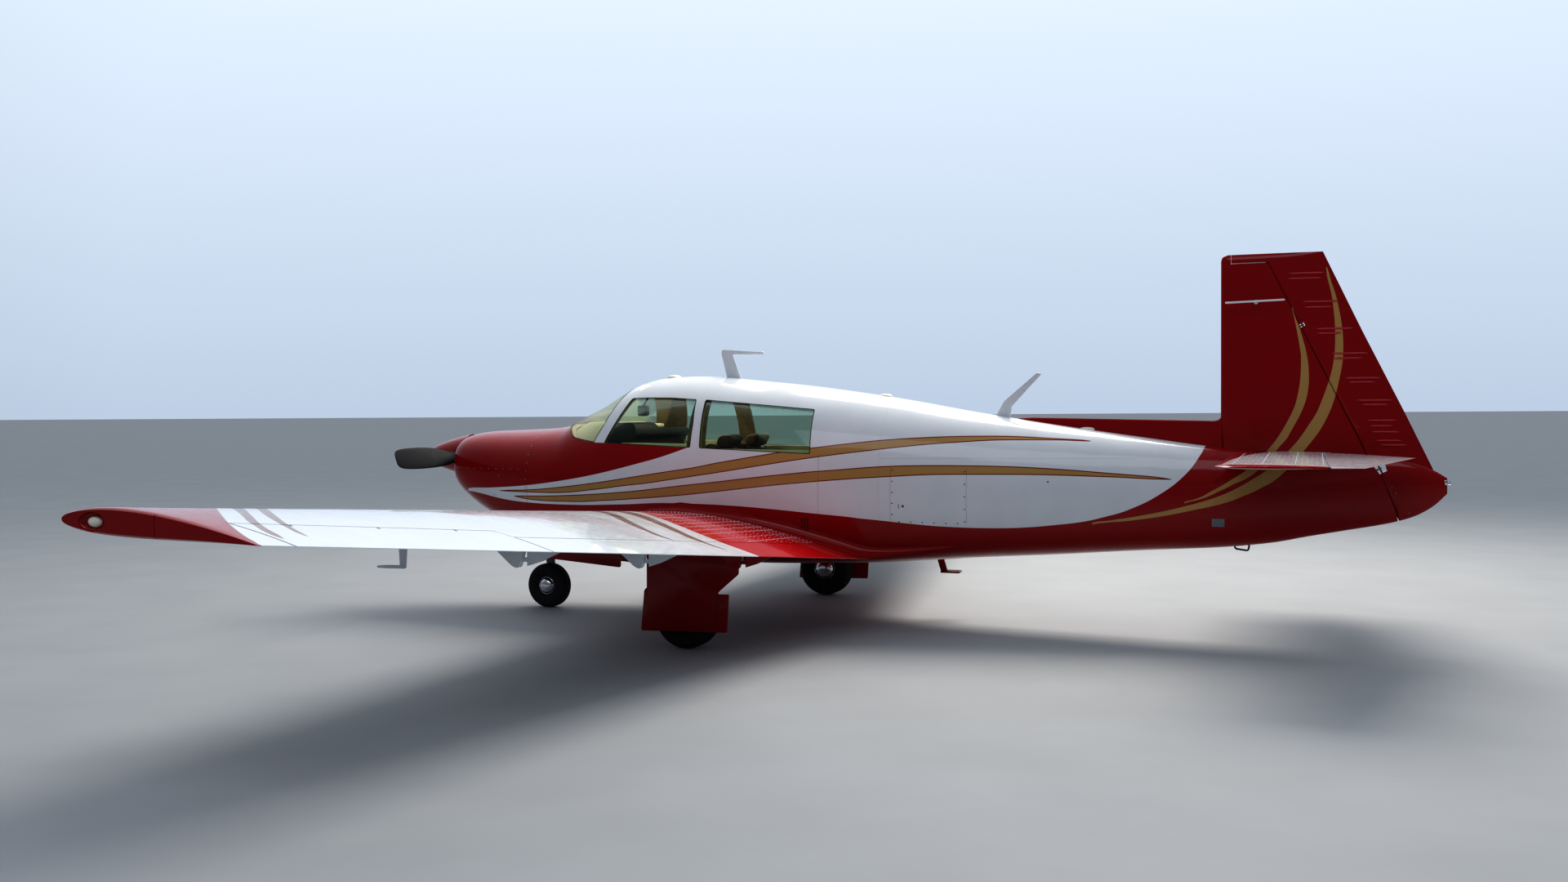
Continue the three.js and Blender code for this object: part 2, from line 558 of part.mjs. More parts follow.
const baggageMoving = () => cut(joined(baggageBar(23.4, 50, 6),
  box([BAGGAGE_HINGE.x + 23.4, BAGGAGE_HINGE.x + 50], [450, 463], [1400, 1439])),
baggageBar(20, 46, boreFor(2.6, 12), 12));

function buildCabin() {
  const shell = cut(fuselage(FIREWALL, CABIN_BACK - GAP),
    fuselage(FIREWALL + 15, CABIN_BACK + 5, CABIN_WALL, CABIN_FLOOR, INNER_RING));
  const openFront = fuselage(FIREWALL - 5, FIREWALL + 20, 60 - GAP, 60 - GAP, INNER_RING);
  const bayHole = box([1180, BAY.x[1] + BAY.wall + GAP],
    [-BAY.y - BAY.wall - GAP, BAY.y + BAY.wall + GAP], [400, BAY.roof]);
  const open = cut(shell, openFront, bayHole, windshieldHole(0),
    windowHole(FRONT_WINDOW, 0, 'left'), windowHole(REAR_WINDOW, 0, 'left'),
    windowHole(REAR_WINDOW, 0, 'right'), doorHole(0), baggageHole(0));
  add('cabin', joined(open, ...DOOR_KNUCKLES.map(cabinKnuckle), baggageFixed()), whitePaint);

  const bay = cut(
    box([BAY.x[0], BAY.x[1] + BAY.wall], [-BAY.y - BAY.wall, BAY.y + BAY.wall], [400, BAY.roof + BAY.wall]),
    box([BAY.x[0] - 5, BAY.x[1]], [-BAY.y, BAY.y], [390, BAY.roof]));
  add('nose_gear_bay', common(bay, fuselage(1200, 1720)), darkMetal);
  add('rear_bulkhead', fuselage(3904, 3916, CABIN_WALL + GAP, CABIN_FLOOR + GAP, INNER_RING), tanLeather);
}

function buildWindows() {
  const glass = cut(fuselage(FIREWALL + 40, CABIN_BACK, GLASS.from),
    fuselage(FIREWALL + 30, CABIN_BACK + 10, GLASS.to));
  add('windshield', common(glass, windshieldHole(GAP)), acrylic);
  add('window_front_left', common(glass, windowHole(FRONT_WINDOW, GAP, 'left')), acrylic);
  add('window_rear_left', common(glass, windowHole(REAR_WINDOW, GAP, 'left')), acrylic);
  add('window_rear_right', common(glass, windowHole(REAR_WINDOW, GAP, 'right')), acrylic);
  add('cabin_door_window', common(glass, windowHole(FRONT_WINDOW, GAP, 'right')), acrylic);
}

function buildDoors() {
  const wall = cut(fuselage(1500, CABIN_BACK),
    fuselage(1490, CABIN_BACK + 10, CABIN_WALL, CABIN_FLOOR, INNER_RING));
  const door = common(wall, doorHole(DOOR_GAP));
  add('cabin_door', joined(cut(door, windowHole(FRONT_WINDOW, 0, 'right')),
    ...DOOR_KNUCKLES.map(doorKnuckle)), whitePaint);
  add('baggage_door', joined(common(wall, baggageHole(DOOR_GAP)), baggageMoving()), whitePaint);
}

// Furnishings stand clear of the doors' inner faces.
const seatSide = (outline, from, to, round = 40) => prism('y', rounded(outline, round, 3), from, to);
function buildCabinFittings() {
  const room = fuselage(1600, 3900, CABIN_WALL + 12, CABIN_FLOOR + GAP, INNER_RING);
  // The dash runs forward under the windshield. Its hood is higher on the pilot's side.
  const dash = common(prism('y', [
    [1390, 1290], [1402, 1365], [1450, 1430], [1530, 1448], [2025, 1448], [2066, 1436], [2092, 1400],
    [2098, 1352], [2060, 1325], [2040, 1010], [1985, 1010], [1985, 1290],
  ], -600, 600), fuselage(1350, 2200, CABIN_WALL + 12, CABIN_FLOOR + GAP, INNER_RING));
  const panel = cut(dash, box([1840, 2200], [-60, 600], [1406, 1500]));
  const yoke = (y) => joined(
    bar([2030, y, 1180], [2185, y, 1180], 10),
    bar([2185, y - 95, 1172], [2185, y + 95, 1172], 12),
    bar([2185, y - 92, 1165], [2185, y - 118, 1262], 11),
    bar([2185, y + 92, 1165], [2185, y + 118, 1262], 11));
  const pedestal = common(box([1985, 2035], [-70, 70], [480, 1030]), room);
  add('instrument_panel', joined(panel, pedestal, yoke(-255), yoke(255)), panelBlack);

  const front = (from, to) => joined(
    seatSide([[2120, 760], [2600, 735], [2610, 860], [2120, 880]], from, to),
    seatSide([[2560, 740], [2650, 740], [2760, 1320], [2640, 1335], [2560, 900]], from + 8, to - 8),
    box([2190, 2560], [from + 40, to - 40], [480, 770]));
  addPair('front_seat', common(front(45, 495), room), tanLeather);
  add('rear_seat', common(joined(
    seatSide([[2980, 470], [3440, 470], [3440, 850], [2980, 870]], -490, 490),
    seatSide([[3400, 700], [3500, 700], [3600, 1240], [3490, 1255], [3400, 860]], -478, 478)), room), tanLeather);
}

// The tail. Fin and rudder are one shape cut along the rudder's hinge line.
const RUDDER_AXIS = { low: [7285, 0, 785], high: [6393, 0, 2559] };
const RUDDER_NOSE = [[0, 44], [0.12, 52], [0.22, 44], [0.3, 31], [0.6, 25], [1, 17]]; // share, radius
const FIN = { le: 6140, dorsalFront: 4790, top: 2530 };
const FIN_TRAILING = [[1086, 7439], [1496, 7250], [2017, 7000], [2530, 6765]]; // height, station
const HORN = { x: 6205, z: 2474 }; // the rudder's balance over the fin

const finTrailing = (z) => {
  const next = Math.max(1, FIN_TRAILING.findIndex(([height]) => height >= z));
  const [a, b] = [FIN_TRAILING[next - 1], FIN_TRAILING[next]];
  return a[1] + ((b[1] - a[1]) * (z - a[0])) / (b[0] - a[0]);
};
const finRing = (z, front = 0, grow = 1) => {
  const chord = finTrailing(z) - FIN.le - front;
  const ratio = (0.075 + (0.015 * (z - 1090)) / 1440) * grow;
  return airfoilLoop(ratio, 0).map(([s, h]) => new THREE.Vector3(FIN.le + front + s * chord, h * chord, z));
};
const finShape = (grow = 1) => loft([
  finRing(1090, 0, grow), finRing(1496, 0, grow), finRing(2017, 0, grow),
  finRing(2490, 0, grow), finRing(2518, 10, 0.8 * grow), finRing(FIN.top, 35, 0.45 * grow),
]);
const dorsalRing = (x, low, high, wide) => [[-wide, low], [wide, low], [7, high - 8], [0, high], [-7, high - 8]]
  .map(([y, z]) => new THREE.Vector3(x, y, z));
const dorsalShape = () => loft([
  dorsalRing(FIN.dorsalFront, 1380, 1467, 12), dorsalRing(4900, 1370, 1471, 14),
  dorsalRing(6110, 1230, 1433, 30), dorsalRing(6230, 1230, 1430, 34),
]);

// A shape turned about the rudder's hinge line.
const aboutRudderAxis = (extra) => {
  const [low, high] = [new THREE.Vector3(...RUDDER_AXIS.low), new THREE.Vector3(...RUDDER_AXIS.high)];
  const length = low.distanceTo(high);
  const profile = RUDDER_NOSE.map(([share, radius]) => new THREE.Vector2(radius + extra, share * length));
  const points = [
    new THREE.Vector2(0, -60), new THREE.Vector2(RUDDER_NOSE[0][1] + extra, -60), ...profile,
    new THREE.Vector2(0, length),
  ];
  const geometry = new THREE.LatheGeometry(points, 16);
  const along = high.clone().sub(low).normalize();
  geometry.applyQuaternion(new THREE.Quaternion().setFromUnitVectors(new THREE.Vector3(0, 1, 0), along));
  geometry.translate(...RUDDER_AXIS.low);
  return geometry;
};
const behindRudderAxis = () => {
  const [[x0, , z0], [x1, , z1]] = [RUDDER_AXIS.low, RUDDER_AXIS.high];
  const slope = (x1 - x0) / (z1 - z0);
  return prism('y', [
    [x0 - slope * 200, z0 - 200], [7800, z0 - 200], [7800, z1 + 60], [x1 + slope * 60, z1 + 60],
  ], -300, 300);
};

// Hinges of the rudder: share of the axis, height of the notch, its radius and the plate's reach.
const RUDDER_HINGES = [
  { share: 0.2, notch: 56, radius: 56, reach: 95, part: 'tail_fairing' },
  { share: 0.72, notch: 22, radius: 30, reach: 62, part: 'fin' },
];
const RUDDER_PIN = { radius: 5, plate: 10, halfWidth: 10 };
const onRudderAxis = (share, offset = 0) => {
  const [low, high] = [new THREE.Vector3(...RUDDER_AXIS.low), new THREE.Vector3(...RUDDER_AXIS.high)];
  const along = high.clone().sub(low).normalize();
  return low.clone().lerp(high, share).addScaledVector(along, offset).toArray();
};
const rudderDisc = ({ share }, height, radius, sides = 14) => bar(
  onRudderAxis(share, -height / 2), onRudderAxis(share, height / 2), radius, radius, sides);
// A plate on the fixed side, square to the axis, with a bore for the pin.
const rudderPlate = (hinge) => {
  const [low, high] = [new THREE.Vector3(...RUDDER_AXIS.low), new THREE.Vector3(...RUDDER_AXIS.high)];
  const arm = new THREE.BoxGeometry(hinge.reach, RUDDER_PIN.plate, RUDDER_PIN.halfWidth * 2);
  arm.translate(-hinge.reach / 2, 0, 0);
  const up = high.sub(low).normalize();
  const aft = new THREE.Vector3(up.z, 0, -up.x);
  arm.applyMatrix4(new THREE.Matrix4().makeBasis(aft, up, new THREE.Vector3().crossVectors(aft, up)));
  arm.translate(...onRudderAxis(hinge.share));
  return cut(joined(arm, rudderDisc(hinge, RUDDER_PIN.plate, RUDDER_PIN.halfWidth)),
    rudderDisc(hinge, 60, boreFor(RUDDER_PIN.radius, 14)));
};

// The tailplane: half span, hinge line and the elevator's inner end.
const TAIL = { z: 1214.5, le: 6207, hinge: 6810, tipY: 1790, tubeRadius: 18, noseInner: 41, noseTip: 16 };
const tailTrailing = (y) => 7337 - 0.207 * y;
const tailRing = (y, front = 0, grow = 1) => {
  const chord = tailTrailing(y) - TAIL.le - front;
  return airfoilLoop(0.09 * grow, 0).map(([s, h]) => new THREE.Vector3(
    TAIL.le + front + s * chord, y, TAIL.z + h * chord));
};
const tailShape = () => loft([
  tailRing(25), tailRing(1690), tailRing(1752, 18, 0.8), tailRing(TAIL.tipY, 75, 0.35),
]);
const elevatorNose = (extra) => bar([TAIL.hinge, 118 - extra, TAIL.z], [TAIL.hinge, 1800, TAIL.z],
  TAIL.noseInner + extra, TAIL.noseTip + extra, 20);

function buildTail() {
  const rudderHole = [behindRudderAxis(), aboutRudderAxis(10)];
  const overFin = box([HORN.x - RUNNING, 7600], [-200, 200], [HORN.z - RUNNING, 2700]);
  const tube = (radius) => bar([TAIL.hinge, -400, TAIL.z], [TAIL.hinge, 400, TAIL.z], radius, radius, 16);
  const bearing = tube(boreFor(TAIL.tubeRadius, 16));
  const cone = cut(fuselage(CABIN_BACK, TAIL_JOINT),
    fuselage(CABIN_BACK - 5, TAIL_JOINT + 5, SKIN, SKIN, INNER_RING));
  add('tail_cone', cone, whitePaint);
  const inside = fuselage(TAIL_JOINT - 5, 6600, SKIN, SKIN, INNER_RING);
  const [lowHinge, highHinge] = RUDDER_HINGES;
  const fairing = cut(fuselage(TAIL_JOINT + GAP, 7400), inside, ...rudderHole, bearing);
  add('tail_fairing', joined(fairing, rudderPlate(lowHinge)), redPaint);
  const fin = cut(joined(finShape(), dorsalShape()), outside, ...rudderHole, overFin, bearing,
    antennaPost(9 + GAP));
  add('fin', joined(fin, rudderPlate(highHinge)), redPaint);

  const whole = joined(finShape(), fuselage(6800, TAIL_END));
  const rudderPart = joined(behindRudderAxis(), aboutRudderAxis(0),
    box([HORN.x, 7600], [-200, 200], [HORN.z, 2700]));
  const lamp = box([7460, 7518], [-14, 14], [1040, 1072]);
  const notches = RUDDER_HINGES.map((hinge) => rudderDisc(hinge, hinge.notch, hinge.radius));
  const pins = RUDDER_HINGES.map((hinge) => rudderDisc(hinge, hinge.notch + 16, RUDDER_PIN.radius));
  add('rudder', joined(cut(common(whole, rudderPart), ...notches), ...pins, lamp), redPaint);

  const behind = prism('z', [[TAIL.hinge, 118], [7400, 178], [7400, 1900], [TAIL.hinge, 1900]], 1000, 1400);
  const all = box([TAIL.hinge, 7500], [0, 1900], [1000, 1400]);
  addPair('stabilizer', cut(tailShape(), all, tube(TAIL.tubeRadius + RUNNING), elevatorNose(RUNNING), outside, finShape(1.03)), whitePaint);
  const half = common(tailShape(), joined(behind, elevatorNose(0)));
  add('elevators', joined(half, mirrored(half),
    bar([TAIL.hinge, -130, TAIL.z], [TAIL.hinge, 130, TAIL.z], TAIL.tubeRadius, TAIL.tubeRadius, 16)),
  whitePaint);
}

// Landing gear
const NOSE_AXLE = [1102, 0, 172];
const NOSE_TYRE = { radius: 172, width: 124, rim: 70 };
const STEER_X = 1052;
const WHEEL_SIDES = 24;

const tyreShape = (tyre, centre) => {
  const [r, w, rim] = [tyre.radius, tyre.width / 2, tyre.rim + GAP];
  const half = [
    [rim, w * 0.72], [rim + 14, w * 0.86], [r * 0.66, w], [r * 0.82, w * 0.97], [r * 0.93, w * 0.8],
    [r * 0.985, w * 0.5],
  ];
  const profile = [...half, [r, w * 0.2], [r, -w * 0.2],
    ...half.toReversed().map(([radius, h]) => [radius, -h]), half[0]];
  return turned(profile, 'y', centre, WHEEL_SIDES);
};
// The rim has a cap on the inner side and a bore for the axle on the outer side.
const rimShape = (tyre, centre, bore) => {
  const [rim, w] = [tyre.rim, tyre.width * 0.34];
  return turned([
    [0, -w + 2], [bore + 8, -w + 6], [bore + 14, -w * 0.55], [rim - 16, -w * 0.5], [rim - 6, -w],
    [rim, -w], [rim, w], [rim - 6, w], [rim - 16, w * 0.5], [bore + 14, w * 0.55], [bore + 8, w * 0.8],
    [bore, w * 0.8], [bore, -w * 0.2], [0, -w * 0.2],
  ], 'y', centre, WHEEL_SIDES);
};

function buildMainGear() {
  const [x, y, z] = MAIN_AXLE;
  addPair('main_tyre', tyreShape(MAIN_TYRE, MAIN_AXLE), rubber);
  addPair('main_rim', rimShape(MAIN_TYRE, MAIN_AXLE, boreFor(20, WHEEL_SIDES)), chromeCap);
  const leg = prism('y', [
    [x - 32, z - 34], [x + 32, z - 34], [x + 40, 440], [x + 62, wellRoof(x + 62) - GAP],
    [x - 62, wellRoof(x - 62) - GAP], [x - 40, 440],
  ], 1483, 1499);
  const axle = bar([x, y - 8, z], [x, 1490, z], 20);
  const brackets = [[z + 20, z + 60], [500, 540]].map((heights) => box([x - 24, x + 24], [1495, 1511], heights));
  addPair('main_gear_leg', joined(leg, axle, ...brackets), bareMetal);
  addPair('main_gear_door', prism('y', [
    [2652, 112], [3262, 128], [3248, 372], [3196, 392], [3330, 515], [3332, 612], [2684, 622], [2680, 392],
    [2652, 376],
  ], 1511 + GAP, 1517), redPaint);
}

function buildNoseGear() {
  const [x, , z] = NOSE_AXLE;
  add('nose_tyre', tyreShape(NOSE_TYRE, NOSE_AXLE), rubber);
  add('nose_rim', rimShape(NOSE_TYRE, NOSE_AXLE, boreFor(14, WHEEL_SIDES)), chromeCap);
  add('nose_fork', joined(
    bar([STEER_X, 0, 380], [STEER_X, 0, 700], 26, 26, 20),
    box([STEER_X - 38, STEER_X + 42], [-36, 96], [372, 402]),
    prism('y', [[x - 24, z - 26], [x + 24, z - 26], [STEER_X + 42, 402], [STEER_X - 38, 402]], 76, 96),
    bar([x, -8, z], [x, 90, z], 14)), bareMetal);
  const strut = turned([[0, 712], [boreFor(26, 20), 712], [boreFor(26, 20), 452], [42, 452], [42, 830], [0, 830]],
    'y', [0, 0, 0], 20).rotateX(Math.PI / 2).translate(STEER_X, 0, 0);
  const brace = box([STEER_X + 20, FIREWALL], [-110, 110], [786, 822]);
  add('nose_strut', joined(strut, brace), bareMetal);
  addPair('nose_gear_door', cut(prism('y', [
    [1182, 398], [1806, 348], [1812, 600], [1180, 600],
  ], 152, 158), outside), redPaint);
}

// Antennas, probes, step and ground points
const antennaPost = (radius) => bar([6360, -100, 2216], [6360, 100, 2216], radius, radius, 12);
function buildFittings() {
  const roof = prism('y', [
    [2640, 1700], [2760, 1700], [2668, 1948], [2914, 1940], [2914, 1960], [2590, 1984], [2576, 1966],
  ], -6, 6);
  const blade = prism('y', [[4620, 1440], [4742, 1440], [4850, 1600], [4962, 1776], [4930, 1782], [4770, 1660]], -7, 7);
  add('roof_antenna', cut(roof, outside), whitePaint);
  add('tail_antenna', cut(blade, outside), whitePaint);
  const rods = [-1, 1].map((side) => bar([6171, side * 100, 2212], [6538, side * 100, 2222], 7, 7, 10));
  add('fin_antenna', joined(...rods, antennaPost(9)), whitePaint);
  add('pitot_tube', cut(joined(
    prism('y', [[2395, 930], [2452, 930], [2440, 752], [2405, 752]], -3755, -3745),
    bar([2430, -3750, 758], [2268, -3750, 755], 9, 7, 12)), mirroredSolid(wingClear)), darkMetal);
  add('boarding_step', cut(joined(
    box([4090, 4290], [385, 475], [330, 346]),
    prism('y', [[4160, 335], [4230, 335], [4180, 620], [4120, 620]], 395, 409)), outside), redPaint);
  add('tail_skid', cut(joined(
    prism('y', [[6246, 592], [6318, 592], [6330, 700], [6225, 700]], -7, 7)),
  bar([6282, -20, 614], [6282, 20, 614], 11, 11, 16), outside), bareMetal);
}
const mirroredSolid = (solid) => solid.mirror([0, 1, 0]);

buildWings();
buildPropeller();
buildCowl();
buildCabin();
buildWindows();
buildDoors();
buildCabinFittings();
buildTail();
buildMainGear();
buildNoseGear();
buildFittings();

// The origin is on the ground below the middle of the whole aircraft.
aircraft.updateMatrixWorld(true);
const extent = new THREE.Box3().setFromObject(aircraft);
aircraft.position.set(-(extent.min.x + extent.max.x) / 2, 0, -extent.min.z);
aircraft.updateMatrixWorld(true);
export default aircraft;
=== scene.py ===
"""The looks of a low-wing light aircraft with four seats, parked on its wheels.

Shapes are made in millimetres: x is the station aft of the spinner's tip, y is towards the
right wing tip and z is the height above the ground. piece() moves them into the frame, in metres.
"""

import math

import bmesh
import bpy
from mathutils import Matrix, Vector


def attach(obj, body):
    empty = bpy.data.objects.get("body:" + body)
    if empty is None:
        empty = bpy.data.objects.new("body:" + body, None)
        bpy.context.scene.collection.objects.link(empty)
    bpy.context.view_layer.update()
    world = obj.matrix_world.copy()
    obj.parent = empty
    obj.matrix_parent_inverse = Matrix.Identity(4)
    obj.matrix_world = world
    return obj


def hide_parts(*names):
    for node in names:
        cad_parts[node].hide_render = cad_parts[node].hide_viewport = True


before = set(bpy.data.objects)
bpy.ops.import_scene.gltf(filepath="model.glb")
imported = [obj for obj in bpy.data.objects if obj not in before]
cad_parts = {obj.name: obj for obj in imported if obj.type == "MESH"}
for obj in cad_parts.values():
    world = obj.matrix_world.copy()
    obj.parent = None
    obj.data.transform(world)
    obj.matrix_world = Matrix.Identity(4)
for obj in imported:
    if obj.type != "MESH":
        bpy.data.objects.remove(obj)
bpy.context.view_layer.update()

MIDDLE = 3759.0  # station over the frame's origin
TO_FRAME = Matrix.Scale(0.001, 4) @ Matrix.Translation((-MIDDLE, 0, 0))


# Shapes

def tidy(shape, merge=0.02):
    """Merges doubles, caps open ends and turns the faces outwards."""
    bmesh.ops.remove_doubles(shape, verts=shape.verts, dist=merge)
    open_edges = [e for e in shape.edges if e.is_boundary]
    if open_edges:
        bmesh.ops.holes_fill(shape, edges=open_edges, sides=0)
    bmesh.ops.recalc_face_normals(shape, faces=shape.faces)
    return shape


def loft(rings):
    """A closed skin through rings of points. All rings have the same count."""
    count, last = len(rings[0]), len(rings) - 1
    shape = bmesh.new()
    bmesh.ops.create_grid(shape, x_segments=last, y_segments=count, size=0.5)
    for v in shape.verts:
        v.co = rings[round((v.co.x + 0.5) * last)][round((v.co.y + 0.5) * count) % count]
    return tidy(shape)


def prism(axis, outline, start, end):
    """An outline drawn square to an axis and extruded along it."""
    shape = bmesh.new()
    place = {"x": lambda a, b: (start, a, b), "y": lambda a, b: (a, start, b),
             "z": lambda a, b: (a, b, start)}[axis]
    face = shape.faces.new([shape.verts.new(place(a, b)) for a, b in outline])
    made = bmesh.ops.extrude_face_region(shape, geom=[face])["geom"]
    way = Vector([end - start if letter == axis else 0 for letter in "xyz"])
    bmesh.ops.translate(shape, verts=[v for v in made if isinstance(v, bmesh.types.BMVert)], vec=way)
    bmesh.ops.recalc_face_normals(shape, faces=shape.faces)
    return shape


def block(x, y, z):
    shape = bmesh.new()
    middle = Vector([(a + b) / 2 for a, b in (x, y, z)])
    size = [b - a for a, b in (x, y, z)]
    bmesh.ops.create_cube(shape, size=1, matrix=Matrix.Translation(middle) @ Matrix.Diagonal((*size, 1)))
    return shape


def rod(start, end, radius, end_radius=None, sides=32):
    start, end = Vector(start), Vector(end)
    way = end - start
    turn = way.to_track_quat("Z", "Y").to_matrix().to_4x4()
    shape = bmesh.new()
    bmesh.ops.create_cone(
        shape, cap_ends=True, segments=sides, radius1=radius,
        radius2=radius if end_radius is None else end_radius, depth=way.length,
        matrix=Matrix.Translation((start + end) / 2) @ turn)
    return shape


def egg(centre, radii):
    shape = bmesh.new()
    bmesh.ops.create_uvsphere(shape, u_segments=32, v_segments=16, radius=1)
    bmesh.ops.scale(shape, vec=radii, verts=shape.verts)
    bmesh.ops.translate(shape, vec=centre, verts=shape.verts)
    return shape


LIE = {"x": Matrix.Rotation(math.pi / 2, 4, "Y"), "y": Matrix.Rotation(-math.pi / 2, 4, "X"),
       "z": Matrix.Identity(4)}


def turned(profile, centre, axis="y", steps=64):
    """A profile of [radius, distance along the axis], spun about the axis through centre."""
    shape = bmesh.new()
    corners = [shape.verts.new((radius, 0, along)) for radius, along in profile]
    edges = [shape.edges.new(pair) for pair in zip(corners, corners[1:])]
    bmesh.ops.spin(shape, geom=corners + edges, cent=(0, 0, 0), axis=(0, 0, 1), dvec=(0, 0, 0),
                   angle=math.tau, steps=steps, use_merge=True)
    tidy(shape)
    bmesh.ops.transform(shape, matrix=Matrix.Translation(centre) @ LIE[axis], verts=shape.verts)
    return shape


def tube(path, radius, sides=14):
    """A round tube along a path. The radius may be a list, one for each point."""
    path = [Vector(p) for p in path]
    radii = radius if isinstance(radius, (list, tuple)) else [radius] * len(path)
    rings = []
    for i, point in enumerate(path):
        way = (path[min(i + 1, len(path) - 1)] - path[max(i - 1, 0)]).normalized()
        side = way.cross(Vector((0, 0, 1)) if abs(way.z) < 0.9 else Vector((0, 1, 0))).normalized()
        up = side.cross(way)
        rings.append([point + (side * math.cos(a) + up * math.sin(a)) * radii[i]
                      for a in (math.tau * k / sides for k in range(sides))])
    return loft(rings)


def arc(path, steps=8, reach=40):
    """A path with its corners rounded."""
    path = [Vector(p) for p in path]
    out = [path[0]]
    for before, here, after in zip(path, path[1:], path[2:]):
        a = here + (before - here).normalized() * min(reach, (before - here).length / 2.1)
        b = here + (after - here).normalized() * min(reach, (after - here).length / 2.1)
        out += [a.lerp(here, t).lerp(here.lerp(b, t), t) for t in (k / steps for k in range(steps + 1))]
    return out + [path[-1]]


def rounded(outline, radius, steps=8):
    """An outline with round corners."""
    out = []
    for i, corner in enumerate(outline):
        here = Vector(corner)
        before, after = Vector(outline[i - 1]) - here, Vector(outline[(i + 1) % len(outline)]) - here
        reach = min(radius, before.length / 2.2, after.length / 2.2)
        a, b = here + before.normalized() * reach, here + after.normalized() * reach
        out += [a.lerp(here, t).lerp(here.lerp(b, t), t) for t in (k / steps for k in range(steps + 1))]
    return [tuple(p) for p in out]


def inset(outline, distance):
    """An outline moved in by a distance on every side."""
    points = [Vector(p) for p in outline]
    area = sum(a.x * b.y - b.x * a.y for a, b in zip(points, points[1:] + points[:1]))
    way = 1 if area > 0 else -1
    out = []
    for i, here in enumerate(points):
        before = (here - points[i - 1]).normalized()
        after = (points[(i + 1) % len(points)] - here).normalized()
        one, two = Vector((-before.y, before.x)) * way, Vector((-after.y, after.x)) * way
        middle = (one + two).normalized()
        out.append(tuple(here + middle * distance / max(0.4, middle.dot(two))))
    return out


def together(*shapes):
    """Several shapes as one mesh, with nothing cut."""
    first = shapes[0]
    for other in shapes[1:]:
        mesh = bpy.data.meshes.new("part")
        other.to_mesh(mesh)
        other.free()
        first.from_mesh(mesh)
        bpy.data.meshes.remove(mesh)
    return first


def mirrored(shape):
    """The same shape on the other side of the aircraft."""
    other = shape.copy()
    bmesh.ops.scale(other, vec=(1, -1, 1), verts=other.verts)
    bmesh.ops.reverse_faces(other, faces=other.faces)
    return other


def rolled(shape, width, segments=2, angle=35, where=None):
    """Rounds the edges that are sharper than an angle."""
    edges = [e for e in shape.edges if len(e.link_faces) == 2 and e.calc_face_angle(0) > math.radians(angle)
             and (where is None or all(where(v.co) for v in e.verts))]
    bmesh.ops.bevel(shape, geom=edges, offset=width, offset_type="OFFSET", segments=segments, profile=0.5,
                    affect="EDGES", material=-1, clamp_overlap=True)
    return shape


def loose(shape):
    mesh = bpy.data.meshes.new("part")
    shape.to_mesh(mesh)
    shape.free()
    made = bpy.data.objects.new("part", mesh)
    bpy.context.scene.collection.objects.link(made)
    return made


def discard(made):
    mesh = made.data
    bpy.data.objects.remove(made)
    bpy.data.meshes.remove(mesh)


def worked(made):
    """The mesh of an object with its modifiers on, as a shape."""
    view = bpy.context.evaluated_depsgraph_get()
    mesh = bpy.data.meshes.new_from_object(made.evaluated_get(view))
    shape = bmesh.new()
    shape.from_mesh(mesh)
    bpy.data.meshes.remove(mesh)
    return shape


def cut(shape, *tools, operation="DIFFERENCE"):
    """shape with each tool taken away, or joined, or kept in common with it."""
    for tool in tools:
        made, blade = loose(shape), loose(tool)
        modifier = made.modifiers.new("cut", "BOOLEAN")
        modifier.object, modifier.operation, modifier.solver = blade, operation, "MANIFOLD"
        bpy.context.view_layer.update()
        shape = worked(made)
        if not shape.faces:
            shape.free()
            modifier.solver = "EXACT"
            bpy.context.view_layer.update()
            shape = worked(made)
        discard(made)
        discard(blade)
    return shape


def common(shape, tool):
    return cut(shape, tool, operation="INTERSECT")


def joined(*shapes):
    return cut(*shapes, operation="UNION")


def lined(shape, test, index=1):
    """Gives the faces whose middle passes a test one of the piece's further finishes."""
    for face in shape.faces:
        if test(face.calc_center_median()):
            face.material_index = index
    return shape


def piece(name, shape, finishes, body, stands_for=(), sharp=32):
    """A finished piece in the aircraft's frame, in metres, riding on its body."""
    bmesh.ops.transform(shape, matrix=TO_FRAME, verts=shape.verts)
    mesh = bpy.data.meshes.new(name)
    shape.to_mesh(mesh)
    shape.free()
    for surface in finishes if isinstance(finishes, (list, tuple)) else [finishes]:
        mesh.materials.append(surface)
    mesh.shade_smooth()
    mesh.set_sharp_from_angle(angle=math.radians(sharp))
    made = bpy.data.objects.new(name, mesh)
    bpy.context.scene.collection.objects.link(made)
    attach(made, body)
    if stands_for:
        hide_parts(*stands_for)
    return made


def pair(name, shape, finishes, bodies, slot, stands_for=(), sharp=32):
    """The right-hand shape and its mirror image. Names get the side's word."""
    other = mirrored(shape)
    bodies = bodies if isinstance(bodies, tuple) else (bodies, bodies)
    made = []
    for side, body, one in zip(("right", "left"), bodies, (shape, other)):
        nodes = [f"{node}_{side}" for node in stands_for]
        made.append(piece(f"{name}_{side}", one, finishes, body, nodes, sharp))
    return made


# Finishes

def linear(code):
    """A colour written as sRGB hex, as linear red, green, blue and alpha."""
    parts = [int(code[i:i + 2], 16) / 255 for i in (1, 3, 5)]
    return tuple(c / 12.92 if c <= 0.04045 else ((c + 0.055) / 1.055) ** 2.4 for c in parts) + (1.0,)


